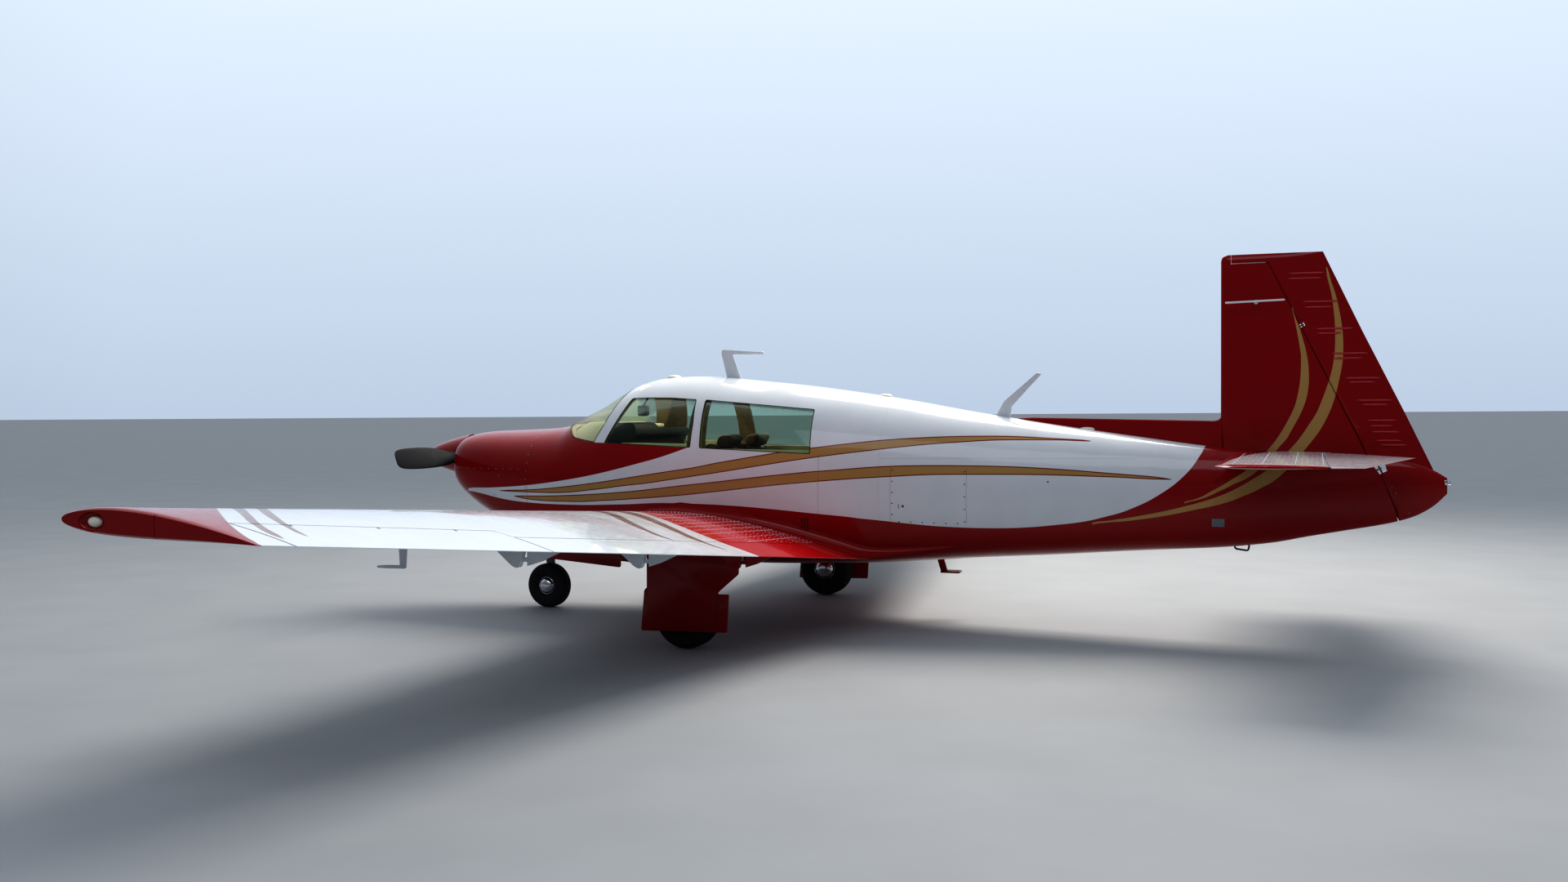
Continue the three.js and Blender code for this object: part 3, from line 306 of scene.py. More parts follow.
def node(tree, kind, inputs=None, **settings):
    """A shader node. inputs are values, or the sockets that feed them. A mix of colours takes its
    share at 0 and the colours at 6 and 7, and gives the result at 2."""
    made = tree.nodes.new(kind)
    for name, value in settings.items():
        setattr(made, name, value)
    for key, value in (inputs or {}).items():
        if isinstance(value, bpy.types.NodeSocket):
            tree.links.new(value, made.inputs[key])
        else:
            made.inputs[key].default_value = value
    return made


def blank(name):
    made = bpy.data.materials.new(name)
    made.use_nodes = True
    made.node_tree.nodes.clear()
    return made, made.node_tree


def where(tree):
    """Object coordinates: the vector, and station, side and height in millimetres."""
    place = node(tree, "ShaderNodeTexCoord").outputs["Object"]
    parts = node(tree, "ShaderNodeSeparateXYZ", {0: place})
    x = node(tree, "ShaderNodeMath", {0: parts.outputs[0], 1: 1000.0, 2: MIDDLE}, operation="MULTIPLY_ADD")
    y = node(tree, "ShaderNodeMath", {0: parts.outputs[1], 1: 1000.0}, operation="MULTIPLY")
    side = node(tree, "ShaderNodeMath", {0: y.outputs[0]}, operation="ABSOLUTE")
    z = node(tree, "ShaderNodeMath", {0: parts.outputs[2], 1: 1000.0}, operation="MULTIPLY")
    return place, x.outputs[0], side.outputs[0], z.outputs[0]


def painted_edge(tree, along, points):
    """A masked paint edge: its place across, as a smooth curve of the place along it."""
    low, high = points[0][0], points[-1][0]
    heights = [p[1] for p in points]
    floor, roof = min(heights) - 1, max(heights) + 1
    share = node(tree, "ShaderNodeMapRange", {"Value": along, "From Min": low, "From Max": high})
    curve = node(tree, "ShaderNodeFloatCurve", {"Value": share.outputs[0]})
    line = curve.mapping.curves[0]
    curve.mapping.extend = "HORIZONTAL"
    spots = [((x - low) / (high - low), (h - floor) / (roof - floor)) for x, h in points]
    line.points[0].location, line.points[1].location = spots[0], spots[-1]
    for spot in spots[1:-1]:
        line.points.new(*spot)
    for point in line.points:
        point.handle_type = "AUTO_CLAMPED"
    curve.mapping.update()
    back = node(tree, "ShaderNodeMapRange", {"Value": curve.outputs[0], "To Min": floor, "To Max": roof})
    return back.outputs[0]


def less(tree, small, great, soft=2.5):
    """1 where small is less than great, with an edge a couple of millimetres soft."""
    gap = node(tree, "ShaderNodeMath", {0: great, 1: small}, operation="SUBTRACT")
    made = node(tree, "ShaderNodeMapRange",
                {"Value": gap.outputs[0], "From Min": -soft / 2, "From Max": soft / 2})
    return made.outputs[0]


def both(tree, *masks):
    """1 where every mask is 1."""
    whole = masks[0]
    for mask in masks[1:]:
        whole = node(tree, "ShaderNodeMath", {0: whole, 1: mask}, operation="MULTIPLY").outputs[0]
    return whole


RED = linear("#930810")
OUTLINE = linear("#7a0d12")
WHITE = linear("#dcdfe3")
GOLD = linear("#b5905a")
TAN = linear("#8d7064")
# The wing root's red is the fuselage's red paint made lighter: painted sunlight on the wing, drawn on its
# underside too.
SUNLIT_WING_RED = linear("#c40c15")

# Masked paint edges of the fuselage: station, height.
SWEEP_TOP = [
    (605, 942), (692, 952), (862, 957), (1404, 1005), (2221, 1169), (2640, 1300)]
BELT = [
    (1220, 2000), (1450, 2000), (1496, 1420), (1535, 1382), (1561, 1356), (1780, 1304), (1868, 1301),
    (2700, 1262)]
KEEL = [
    (640, 924), (682, 921), (1017, 871), (1213, 855), (1615, 847), (2024, 858), (2417, 875),
    (3684, 805), (3853, 787), (4671, 734), (5149, 765), (5463, 828), (5617, 884), (5771, 968),
    (5923, 1091), (6020, 1225), (6050, 1290)]
UPPER_STRIPE = (
    [(940, 926), (958, 938), (1216, 951), (1404, 965), (2417, 1104), (2606, 1132), (2792, 1168),
     (3673, 1297), (4167, 1340), (4651, 1352), (5130, 1332), (5311, 1318), (5340, 1304)],
    [(940, 946), (958, 934), (1403, 929), (1823, 961), (2026, 988), (2224, 1010), (2418, 1039),
     (2608, 1067), (3846, 1248), (4496, 1309), (4815, 1321), (5132, 1319), (5311, 1312), (5340, 1330)])
LOWER_STRIPE = (
    [(1080, 888), (1098, 901), (1403, 910), (1823, 932), (2608, 1014), (3339, 1097), (3513, 1113),
     (4346, 1156), (5616, 1095), (5836, 1070), (5860, 1056)],
    [(1080, 912), (1098, 896), (1402, 868), (1616, 867), (1822, 876), (3686, 1053), (4021, 1075),
     (4349, 1090), (4832, 1092), (5461, 1078), (5837, 1064), (5860, 1078)])
# The two stripes that sweep up the fin: height, station of the front and of the rear edge.
FIN_STRIPES = (
    ([(760, 5372), (770, 5342), (793, 5452), (825, 5638), (892, 5929), (960, 6141), (1030, 6281),
      (1074, 6350), (1106, 6400), (1284, 6589), (1410, 6677), (1535, 6746), (1972, 6840), (2222, 6822),
      (2431, 6785), (2450, 6800)],
     [(755, 5330), (765, 5345), (789, 5545), (826, 5791), (860, 5949), (926, 6206), (959, 6281),
      (991, 6356), (1023, 6410), (1054, 6465), (1284, 6678), (1472, 6795), (1722, 6867), (1908, 6888),
      (2221, 6849), (2347, 6812), (2431, 6787), (2450, 6772)]),
    ([(898, 5944), (913, 5924), (933, 5974), (954, 6030), (981, 6075), (1050, 6191), (1208, 6392),
      (1473, 6569), (1599, 6613), (1851, 6635), (1914, 6628), (2114, 6592), (2177, 6579), (2192, 6592)],
     [(895, 5905), (910, 5924), (929, 5987), (948, 6050), (984, 6126), (1016, 6191), (1042, 6236),
      (1058, 6276), (1135, 6385), (1283, 6509), (1347, 6559), (1724, 6683), (2039, 6627), (2113, 6599),
      (2177, 6582), (2192, 6570)]))
# Edges on the wing: station, distance from the middle of the aircraft.
ROOT_RED = [
    (2060, 900), (2400, 1195), (2713, 1491), (2803, 1575), (2881, 1634), (2950, 1685), (3012, 1735),
    (3071, 1772), (3127, 1807), (3182, 1834), (3232, 1857), (3281, 1876), (3328, 1890), (3375, 1900),
    (3419, 1906), (3509, 1904), (3591, 1896), (3900, 1880)]
TIP_RED = [
    (2060, 4660), (2250, 4850), (2391, 5002), (2723, 5311), (2779, 5354), (2952, 5456), (2990, 5468),
    (3026, 5482), (3100, 5484)]
WING_STRIPES = (
    ([(2060, 1000), (2684, 1571), (3173, 1993), (3305, 2068), (3405, 2095), (3475, 2088), (3510, 2095)],
     [(2060, 1160), (2400, 1470), (3010, 1973), (3167, 2076), (3299, 2134), (3404, 2133), (3479, 2105),
      (3510, 2085)]),
    ([(2060, 1370), (2300, 1570), (2649, 1862), (2853, 2090), (2979, 2215), (3200, 2366), (3262, 2378),
      (3315, 2392)],
     [(2060, 1480), (2300, 1680), (2644, 1972), (2846, 2190), (2973, 2302), (3094, 2369), (3203, 2414),
      (3266, 2405), (3315, 2376)]),
    ([(2060, 4520), (2399, 4844), (2597, 5032), (2827, 5214), (2943, 5267), (2990, 5296)],
     [(2060, 4595), (2616, 5105), (2759, 5217), (2953, 5295), (2990, 5280)]),
    ([(2060, 4390), (2390, 4693), (2615, 4903), (2846, 5073), (2975, 5130)],
     [(2060, 4455), (2250, 4630), (2841, 5102), (2944, 5130), (2975, 5118)]))

# The red leading edge of the tailplane: distance from the middle of the aircraft, station.
TAILPLANE_RED = [
    (0, 6520), (150, 6440), (400, 6350), (800, 6285), (1200, 6255), (1650, 6244), (1712, 6290),
    (1742, 6480), (1760, 6800), (1800, 6800)]
# Upright seams of the fuselage: station, lowest and highest point. One lap runs aft.
SEAMS = ((1216.0, 400.0, 1420.0), (3524.0, 400.0, 1230.0), (4022.0, 765.0, 1140.0),
         (4530.0, 765.0, 1140.0))
LAP_HEIGHT, LAP_ENDS = 1200.0, (3945.0, 5620.0)
WHITE_FROM = 622.0  # forward of this station the cowl is red all round


def enamel(name, base, layers=None, wave=0.5, seams=None):
    """Two-pack polyurethane enamel, sprayed and polished over aluminium sheet. It gives the eye
    deep gloss with a fine orange peel, and reflections that wander where the sheet is not flat."""
    made, tree = blank(name)
    place, x, side, z = where(tree)
    colour = node(tree, "ShaderNodeRGB").outputs[0]
    colour.default_value = base
    for coat, mask in (layers(tree, x, side, z) if layers else ()):
        colour = node(tree, "ShaderNodeMix", {0: mask, 6: colour, 7: coat}, data_type="RGBA").outputs[2]
    # Film thickness differs from one pass of the gun to the next, about 200 mm apart.
    drift = node(tree, "ShaderNodeTexNoise", {"Vector": place, "Scale": 4.5, "Detail": 2.0})
    shade = node(tree, "ShaderNodeMapRange", {"Value": drift.outputs[0], "To Min": 0.93, "To Max": 1.05})
    shaded = node(tree, "ShaderNodeVectorMath", {0: colour, 1: shade.outputs[0]}, operation="MULTIPLY")
    colour = shaded.outputs[0]
    if seams:
        dark = node(tree, "ShaderNodeMix", {
            0: seams(tree, x, side, z), 6: colour, 7: linear("#3c3032")}, data_type="RGBA")
        colour = dark.outputs[2]
    # Wash water leaves a thin film of dust in blotches of a few centimetres.
    dust = node(tree, "ShaderNodeTexNoise", {"Vector": place, "Scale": 26.0, "Detail": 5.0})
    rough = node(tree, "ShaderNodeMapRange",
                 {"Value": dust.outputs[0], "From Min": 0.35, "From Max": 0.8, "To Min": 0.16, "To Max": 0.3})
    # Orange peel of about 3 mm, and sheet that wanders by a millimetre or two between its frames.
    peel = node(tree, "ShaderNodeTexNoise", {"Vector": place, "Scale": 320.0, "Detail": 1.0})
    sheet = node(tree, "ShaderNodeTexNoise", {"Vector": place, "Scale": 3.2, "Detail": 1.5})
    low = node(tree, "ShaderNodeBump", {"Height": sheet.outputs[0], "Strength": wave, "Distance": 0.012})
    fine = node(tree, "ShaderNodeBump",
                {"Height": peel.outputs[0], "Normal": low.outputs[0], "Strength": 0.05, "Distance": 0.0006})
    shader = node(tree, "ShaderNodeBsdfPrincipled", {
        "Base Color": colour, "Roughness": rough.outputs[0], "IOR": 1.5, "Specular IOR Level": 0.1,
        "Coat Weight": 0.6, "Coat Roughness": 0.04, "Coat IOR": 1.5, "Normal": fine.outputs[0],
        "Coat Normal": fine.outputs[0]})
    node(tree, "ShaderNodeOutputMaterial", {"Surface": shader.outputs[0]})
    return made


def fin_layers(tree, x, side, z):
    """The gold stripes that sweep up the red fin."""
    layers = []
    for front, rear in FIN_STRIPES:
        after_front = less(tree, painted_edge(tree, z, front), x)
        layers.append((GOLD, both(tree, after_front, less(tree, x, painted_edge(tree, z, rear)))))
    return layers


def fuselage_layers(tree, x, side, z):
    """White field under a red nose sweep and over a red keel, with outlined gold stripes."""
    layers = []
    nose = both(tree, less(tree, painted_edge(tree, x, SWEEP_TOP), z),
                less(tree, z, painted_edge(tree, x, BELT)))
    above_keel = less(tree, painted_edge(tree, x, KEEL), z)
    off_nose = node(tree, "ShaderNodeMath", {0: 1.0, 1: nose}, operation="SUBTRACT").outputs[0]
    white = both(tree, above_keel, off_nose, less(tree, WHITE_FROM, x, 4.0))
    layers.append((WHITE, white))
    for top, bottom in (UPPER_STRIPE, LOWER_STRIPE):
        high, low = painted_edge(tree, x, top), painted_edge(tree, x, bottom)
        layers.append((OUTLINE, both(tree, less(tree, low, z), less(tree, z, high))))
        inner_low = node(tree, "ShaderNodeMath", {0: low, 1: 6.5}, operation="ADD").outputs[0]
        inner_high = node(tree, "ShaderNodeMath", {0: high, 1: 6.5}, operation="SUBTRACT").outputs[0]
        layers.append((GOLD, both(tree, less(tree, inner_low, z), less(tree, z, inner_high))))
    return layers + fin_layers(tree, x, side, z)


def fuselage_seams(tree, x, side, z):
    """Upright butt joints and panel edges, drawn 3 mm wide so that they show, and the lap along
    the aft fuselage."""
    whole = None
    for station, low, high in SEAMS:
        away = node(tree, "ShaderNodeMath", {0: x, 1: station}, operation="SUBTRACT").outputs[0]
        away = node(tree, "ShaderNodeMath", {0: away}, operation="ABSOLUTE").outputs[0]
        line = both(tree, less(tree, away, 1.4), less(tree, low, z), less(tree, z, high))
        whole = line if whole is None else node(
            tree, "ShaderNodeMath", {0: whole, 1: line}, operation="MAXIMUM").outputs[0]
    away = node(tree, "ShaderNodeMath", {0: z, 1: LAP_HEIGHT}, operation="SUBTRACT").outputs[0]
    away = node(tree, "ShaderNodeMath", {0: away}, operation="ABSOLUTE").outputs[0]
    lap = both(tree, less(tree, away, 0.6), less(tree, LAP_ENDS[0], x), less(tree, x, LAP_ENDS[1]))
    whole = node(tree, "ShaderNodeMath", {0: whole, 1: lap}, operation="MAXIMUM").outputs[0]
    return node(tree, "ShaderNodeMath", {0: whole, 1: 0.45}, operation="MULTIPLY").outputs[0]


def wing_layers(tree, x, side, z):
    """Red root and tip on white, each with two tan stripes beside it. The root's red is the same paint as the
    tip's, drawn lighter as painted sunlight.
    """
    root = less(tree, side, painted_edge(tree, x, ROOT_RED), 5.0)
    tip = less(tree, painted_edge(tree, x, TIP_RED), side, 5.0)
    layers = [(SUNLIT_WING_RED, root), (RED, tip)]
    for inner, outer in WING_STRIPES:
        layers.append((TAN, both(tree, less(tree, painted_edge(tree, x, inner), side, 5.0),
                                 less(tree, side, painted_edge(tree, x, outer), 5.0))))
    return layers


def tailplane_layers(tree, x, side, z):
    """White with a red leading edge that widens towards the fuselage."""
    return [(RED, less(tree, x, painted_edge(tree, side, TAILPLANE_RED), 4.0))]


fuselage_enamel = enamel("fuselage_enamel", RED, fuselage_layers, 0.5, fuselage_seams)
fin_enamel = enamel("fin_enamel", RED, fin_layers, 0.35)
wing_enamel = enamel("wing_enamel", WHITE, wing_layers, 0.3)
tailplane_enamel = enamel("tailplane_enamel", WHITE, tailplane_layers, 0.3)
red_enamel = enamel("red_enamel", RED, None, 0.3)
# The rudder's beads are pressed into its red skin; their lighter red is a painted highlight along each bead.
bead_highlight_enamel = enamel("bead_highlight_enamel", linear("#b8323c"), None, 0.1)
white_enamel = enamel("white_enamel", WHITE, None, 0.2)
gear_enamel = enamel("gear_enamel", linear("#8b8e91"), None, 0.1)


def plain(name, base, dark, roughness, size_mm, grain_mm=0.6, metallic=0.0, depth=0.0003, spread=0.12,
          coat=0.0, sheen=0.0, shine=0.5):
    """A surface whose colour drifts between two tones over size_mm, with a grain of grain_mm."""
    made, tree = blank(name)
    place, x, side, z = where(tree)
    drift = node(tree, "ShaderNodeTexNoise", {"Vector": place, "Scale": 1000.0 / size_mm, "Detail": 4.0})
    mask = node(tree, "ShaderNodeMapRange", {"Value": drift.outputs[0], "From Min": 0.3, "From Max": 0.7})
    colour = node(tree, "ShaderNodeMix", {
        0: mask.outputs[0], 6: linear(dark), 7: linear(base)}, data_type="RGBA")
    grain = node(tree, "ShaderNodeTexNoise", {"Vector": place, "Scale": 1000.0 / grain_mm, "Detail": 3.0})
    low, high = max(0.02, roughness - spread), min(1.0, roughness + spread)
    rough = node(tree, "ShaderNodeMapRange", {"Value": drift.outputs[0], "To Min": low, "To Max": high})
    bump = node(tree, "ShaderNodeBump", {"Height": grain.outputs[0], "Strength": 0.5, "Distance": depth})
    shader = node(tree, "ShaderNodeBsdfPrincipled", {
        "Base Color": colour.outputs[2], "Roughness": rough.outputs[0], "Metallic": metallic,
        "Coat Weight": coat, "Specular IOR Level": shine, "Coat Roughness": 0.08, "Sheen Weight": sheen,
        "Normal": bump.outputs[0]})
    node(tree, "ShaderNodeOutputMaterial", {"Surface": shader.outputs[0]})
    return made


# Matt black enamel on the propeller's aluminium blades, rubbed by rain and grit.
propeller_enamel = plain("propeller_enamel", "#202227", "#17181c", 0.6, 60, 0.8, 0.0, 0.0002, shine=0.15)
# Chromed brass of the wheel caps: bright, with faint swirls from polishing.
chrome_plate = plain("chrome_plate", "#e6e8ea", "#c9ccd0", 0.07, 30, 1.2, 1.0, 0.00004, 0.04)
# Forged aluminium of the wheels and the propeller's hub: mid grey with a dull shine.
wheel_alloy = plain("wheel_alloy", "#9b9da0", "#77797c", 0.34, 25, 0.7, 0.9, 0.0002)
# Tyre rubber: dark grey, dusty on the tread, with a moulded grain.
tyre_rubber = plain("tyre_rubber", "#2b2b2c", "#151516", 0.82, 18, 1.1, 0.0, 0.0006)
# Neoprene of the panes' seals, the hoses, the grips and the step's tread: black and dull.
seal_rubber = plain("seal_rubber", "#1b1c1c", "#111212", 0.7, 12, 0.8)
# Stainless exhaust, browned and sooty from the heat.
exhaust_stainless = plain("exhaust_stainless", "#7b6a5c", "#3a322d", 0.5, 22, 1.0, 0.85, 0.0004)
# Bare stainless sheet of the firewall: pale grey, half bright, with a fine grain.
firewall_stainless = plain("firewall_stainless", "#a9abad", "#8b8d90", 0.35, 40, 1.0, 0.9)
# Cast metal of the engine: dull and coarse, in two greys.
engine_casting = plain("engine_casting", "#707275", "#4b4c4f", 0.55, 30, 1.5, 0.6, 0.0008)
# Primed sheet inside the wheel bays and the cowl, grimy with oil.
bay_primer = plain("bay_primer", "#51534d", "#3a3b37", 0.62, 80, 2.0, 0.0, 0.0004)
# Crackle finish on the instrument panel and its shield: black, and broken up so that it never glares.
panel_crackle = plain("panel_crackle", "#232428", "#17181b", 0.66, 40, 1.6, 0.0, 0.0007)
# Moulded vinyl trim on the cabin's walls and window frames: warm tan with a soft bloom.
cabin_vinyl = plain("cabin_vinyl", "#c9b184", "#b99f70", 0.6, 90, 1.4, 0.0, 0.0005, 0.08, 0.0, 0.15)
# Pale cream vinyl of the dash's cover and the ledges under the windows.
ledge_vinyl = plain("ledge_vinyl", "#f3ecc4", "#e8dfb4", 0.6, 90, 1.4, 0.0, 0.0005, 0.08, 0.0, 0.15)
# Vinyl on the window posts: the cabin's tan trim darkened to brown as painted shade, for the shadow the posts
# stand in; its tone drifts at random.
shaded_post_vinyl = plain("shaded_post_vinyl", "#8a7650", "#6c5a3b", 0.62, 60, 1.4, 0.0, 0.0005, 0.08, 0.0, 0.15)
# Loop carpet on the cabin's floor: matt, coarse and mottled brown.
cabin_carpet = plain("cabin_carpet", "#6d5a42", "#4a3c2b", 0.95, 12, 3.0, 0.0, 0.003, 0.03, 0.0, 0.4)
# Opal plastic of the beacon, the tip lights and the radio pucks: creamy, with a soft gloss.
opal_plastic = plain("opal_plastic", "#f1eee2", "#e6e2d2", 0.35, 30, 1.0, 0.0, 0.0002, 0.05, 0.3)
# Black oxide on the access panel's steel screws: dark and half matt.
screw_steel = plain("screw_steel", "#3a3b3e", "#28292b", 0.5, 15, 0.6, 0.6)
# Bare aluminium of brackets, plates and the cowl's screws, dulled by handling.
bare_alloy = plain("bare_alloy", "#8f9396", "#7b7f83", 0.4, 15, 0.6, 0.9)


def leather(name, base, dark):
    """Corrected-grain cowhide with a soft sheen: pebbles of about 2 mm, darker in the creases."""
    made, tree = blank(name)
    place, x, side, z = where(tree)
    pebble = node(tree, "ShaderNodeTexVoronoi", {"Vector": place, "Scale": 480.0}, feature="DISTANCE_TO_EDGE")
    crease = node(tree, "ShaderNodeMapRange", {"Value": pebble.outputs[0], "From Max": 0.12})
    wear = node(tree, "ShaderNodeTexNoise", {"Vector": place, "Scale": 9.0, "Detail": 4.0})
    soft = node(tree, "ShaderNodeMapRange", {"Value": wear.outputs[0], "From Min": 0.35, "From Max": 0.7})
    worn = node(tree, "ShaderNodeMix", {
        0: soft.outputs[0], 6: linear(dark), 7: linear(base)}, data_type="RGBA")
    colour = node(tree, "ShaderNodeMix", {
        0: crease.outputs[0], 6: linear(dark), 7: worn.outputs[2]}, data_type="RGBA")
    bump = node(tree, "ShaderNodeBump", {"Height": crease.outputs[0], "Strength": 0.35, "Distance": 0.0006})
    rough = node(tree, "ShaderNodeMapRange", {"Value": wear.outputs[0], "To Min": 0.42, "To Max": 0.62})
    shader = node(tree, "ShaderNodeBsdfPrincipled", {
        "Base Color": colour.outputs[2], "Roughness": rough.outputs[0], "Sheen Weight": 0.12,
        "Specular IOR Level": 0.4, "Normal": bump.outputs[0]})
    node(tree, "ShaderNodeOutputMaterial", {"Surface": shader.outputs[0]})
    return made


seat_leather = leather("seat_leather", "#6a4c33", "#4a3322")


def acrylic(name, tint):
    """Cast acrylic sheet, 6 mm, lightly tinted: nearly clear face on, mirror-like at a glance."""
    made, tree = blank(name)
    place, x, side, z = where(tree)
    # The sheet ripples by a hair over a hand's breadth.
    ripple = node(tree, "ShaderNodeTexNoise", {"Vector": place, "Scale": 7.0, "Detail": 1.0})
    bump = node(tree, "ShaderNodeBump", {"Height": ripple.outputs[0], "Strength": 0.2, "Distance": 0.004})
    clear = node(tree, "ShaderNodeBsdfTransparent", {"Color": linear(tint)})
    gloss = node(tree, "ShaderNodeBsdfPrincipled", {
        "Base Color": linear("#f4f6f6"), "Metallic": 1.0, "Roughness": 0.03, "Normal": bump.outputs[0]})
    glance = node(tree, "ShaderNodeFresnel", {"IOR": 1.49, "Normal": bump.outputs[0]})
    share = node(tree, "ShaderNodeMapRange", {"Value": glance.outputs[0], "To Min": 0.0, "To Max": 0.4})
    mix = node(tree, "ShaderNodeMixShader", {0: share.outputs[0], 1: clear.outputs[0], 2: gloss.outputs[0]})
    node(tree, "ShaderNodeOutputMaterial", {"Surface": mix.outputs[0]})
    return made


window_acrylic = acrylic("window_acrylic", "#e9f2ec")
windshield_acrylic = acrylic("windshield_acrylic", "#f5f7ee")
lens_acrylic = acrylic("lens_acrylic", "#f1f4f4")


# Fuselage

# Station, bottom, top, half width, height of the greatest width, power above it, power below it.
FUSELAGE = [
    [455, 935, 1325, 325, 1130, 2.5, 2.5], [480, 900, 1345, 355, 1120, 2.5, 2.5],
    [560, 840, 1366, 400, 1100, 2.5, 2.6], [700, 755, 1380, 438, 1070, 2.5, 2.8],
    [950, 640, 1389, 482, 1030, 2.5, 3.2], [1220, 540, 1402, 524, 1000, 2.5, 3.6],
    [1400, 500, 1430, 548, 990, 2.4, 4], [1520, 482, 1497, 558, 985, 2.35, 4],
    [1700, 462, 1585, 568, 980, 2.3, 4], [1945, 446, 1722, 577, 980, 2.3, 4],
    [2150, 438, 1776, 582, 980, 2.3, 4], [2400, 432, 1787, 585, 980, 2.3, 4],
    [3010, 430, 1738, 578, 980, 2.3, 4], [3330, 436, 1703, 565, 980, 2.3, 3.9],
    [3640, 446, 1660, 541, 975, 2.3, 3.7], [3940, 458, 1615, 505, 970, 2.25, 3.5],
    [4530, 503, 1508, 420, 950, 2.2, 3.1], [5100, 540, 1417, 330, 930, 2.2, 2.9],
    [5640, 581, 1340, 243, 930, 2.2, 2.8], [6120, 612, 1277, 172, 930, 2.2, 2.7],
    [6450, 650, 1252, 132, 940, 2.2, 2.6], [6700, 702, 1236, 104, 960, 2.2, 2.5],
    [6920, 745, 1222, 80, 980, 2.2, 2.4], [7157, 793, 1205, 55, 1000, 2.2, 2.4],
    [7300, 837, 1180, 40, 1010, 2.2, 2.2], [7416, 906, 1135, 26, 1020, 2.1, 2.1],
    [7495, 985, 1085, 12, 1035, 2, 2]]
FIREWALL, CABIN_BACK, TAIL_JOINT = 1220, 3940, 6120
CABIN_WALL, CABIN_FLOOR = 42, 70
LINING, CARPET_TOP = 11, 520  # faces deeper than this in the fuselage are trimmed inside
COWL_SPLIT = 1085


def slopes(xs, ys):
    """The slope of a smooth curve at each point, level at a crest, so that it never overshoots."""
    steps = [(b - a) / (d - c) for a, b, c, d in zip(ys, ys[1:], xs, xs[1:])]
    inner = [0 if a * b <= 0 else 2 * a * b / (a + b) for a, b in zip(steps, steps[1:])]
    return [steps[0], *inner, steps[-1]]


STATIONS = [row[0] for row in FUSELAGE]
SLOPES = list(zip(*[slopes(STATIONS, [row[k] for row in FUSELAGE]) for k in range(1, 7)]))


def section(x):
    """The table's values at a station, on a smooth curve through its rows."""
    i = max(0, min(len(STATIONS) - 2, next((k for k, s in enumerate(STATIONS) if s >= x), 1) - 1))
    span = STATIONS[i + 1] - STATIONS[i]
    t = (x - STATIONS[i]) / span
    a, b = 2 * t ** 3 - 3 * t ** 2 + 1, t ** 3 - 2 * t ** 2 + t
    c, d = -2 * t ** 3 + 3 * t ** 2, t ** 3 - t ** 2
    return [a * p + b * m * span + c * q + d * n * span for p, q, m, n in zip(
        FUSELAGE[i][1:], FUSELAGE[i + 1][1:], SLOPES[i], SLOPES[i + 1])]


def ring(x, wall=0.0, floor=None, around=96):
    """The fuselage's section at a station, moved in by the wall's thickness."""
    floor = wall if floor is None else floor
    bottom, top, half, wide, up, down = section(x)
    out = []
    for k in range(around):
        c, s = math.cos(math.tau * k / around), math.sin(math.tau * k / around)
        power = up if s >= 0 else down
        reach = (abs(c) ** power + abs(s) ** power) ** (-1 / power)
        rise = top - wall - wide if s >= 0 else wide - bottom - floor
        out.append(Vector((x, (half - wall) * reach * c, wide + rise * reach * s)))
    return out


def fuselage(start, end, wall=0.0, floor=None, step=45.0, around=96):
    stations, x = [start, start + 2], start + 2
    while x < end - 2:
        x += 14.0 if x < 640 or x > 7300 else step
        stations.append(min(x, end - 2))
    return loft([ring(x, wall, floor, around) for x in stations + [end]])


def side_of(x, z, sink=0.0):
    """The fuselage's half width at a station and height."""
    bottom, top, half, wide, up, down = section(x)
    share, power = ((z - wide) / (top - wide), up) if z >= wide else ((wide - z) / (wide - bottom), down)
    return (half - sink) * max(0.0, 1 - min(1.0, abs(share)) ** power) ** (1 / power)


def depth_test(limit):
    """True for points deeper in the fuselage than a limit."""
    def test(p):
        bottom, top, half, wide, up, down = section(min(max(p.x, 455), 7495))
        power = up if p.z >= wide else down
        rise = (top - limit - wide) if p.z >= wide else (wide - bottom - limit)
        return abs(p.y / (half - limit)) ** power + abs((p.z - wide) / rise) ** power < 1
    return test


# Outlines of the openings, seen from the side: station, height.
WINDSHIELD = [
    (1405, 1455), (1450, 1432), (1494, 1406), (1535, 1374), (1561, 1350), (1594, 1335), (1661, 1322),
    (1780, 1304), (1836, 1425), (1897, 1590), (1938, 1680), (1880, 1820), (1405, 1820)]
FRONT_WINDOW = [
    (1868, 1301), (2567, 1269), (2571, 1440), (2552, 1614), (2353, 1627), (2181, 1630), (2018, 1626)]
DOOR_WINDOW = [(1886, 1303), (2542, 1271), (2548, 1622), (2075, 1634)]
REAR_WINDOW = [(2636, 1266), (3461, 1228), (3447, 1538), (2621, 1611)]
CABIN_DOOR = [(1800, 905), (2700, 905), (2700, 1650), (2054, 1650), (1800, 1268)]
DOOR_HINGE = (1795, 586, 818)  # station, side and the rear edge's reach
BAGGAGE_DOOR = [(3520, 1010), (3900, 1010), (3900, 1430), (3520, 1430)]
# Station, height of the fillet on the fuselage, its reach along the wing and, aft of the wing, its foot.
ROOT_FILLET = [
    (2150, 12, 612, None), (2260, 45, 630, None), (2500, 62, 631, None), (2900, 70, 631, None),
    (3300, 82, 631, None), (3560, 92, 631, None), (3700, 96, 631, None), (3800, 98, 622, None),
    (3860, 92, 585, 533), (3920, 82, 540, 537), (4000, 70, 488, 545), (4120, 52, 444, 560),
    (4260, 32, 402, 578), (4420, 8, 366, 600)]
SIDES = {"right": (250, 720), "left": (-720, -250)}
WINDOW_CORNER = 14


def windshield_hole(distance=0.0):
    return prism("y", inset(WINDSHIELD, distance), -700, 700)


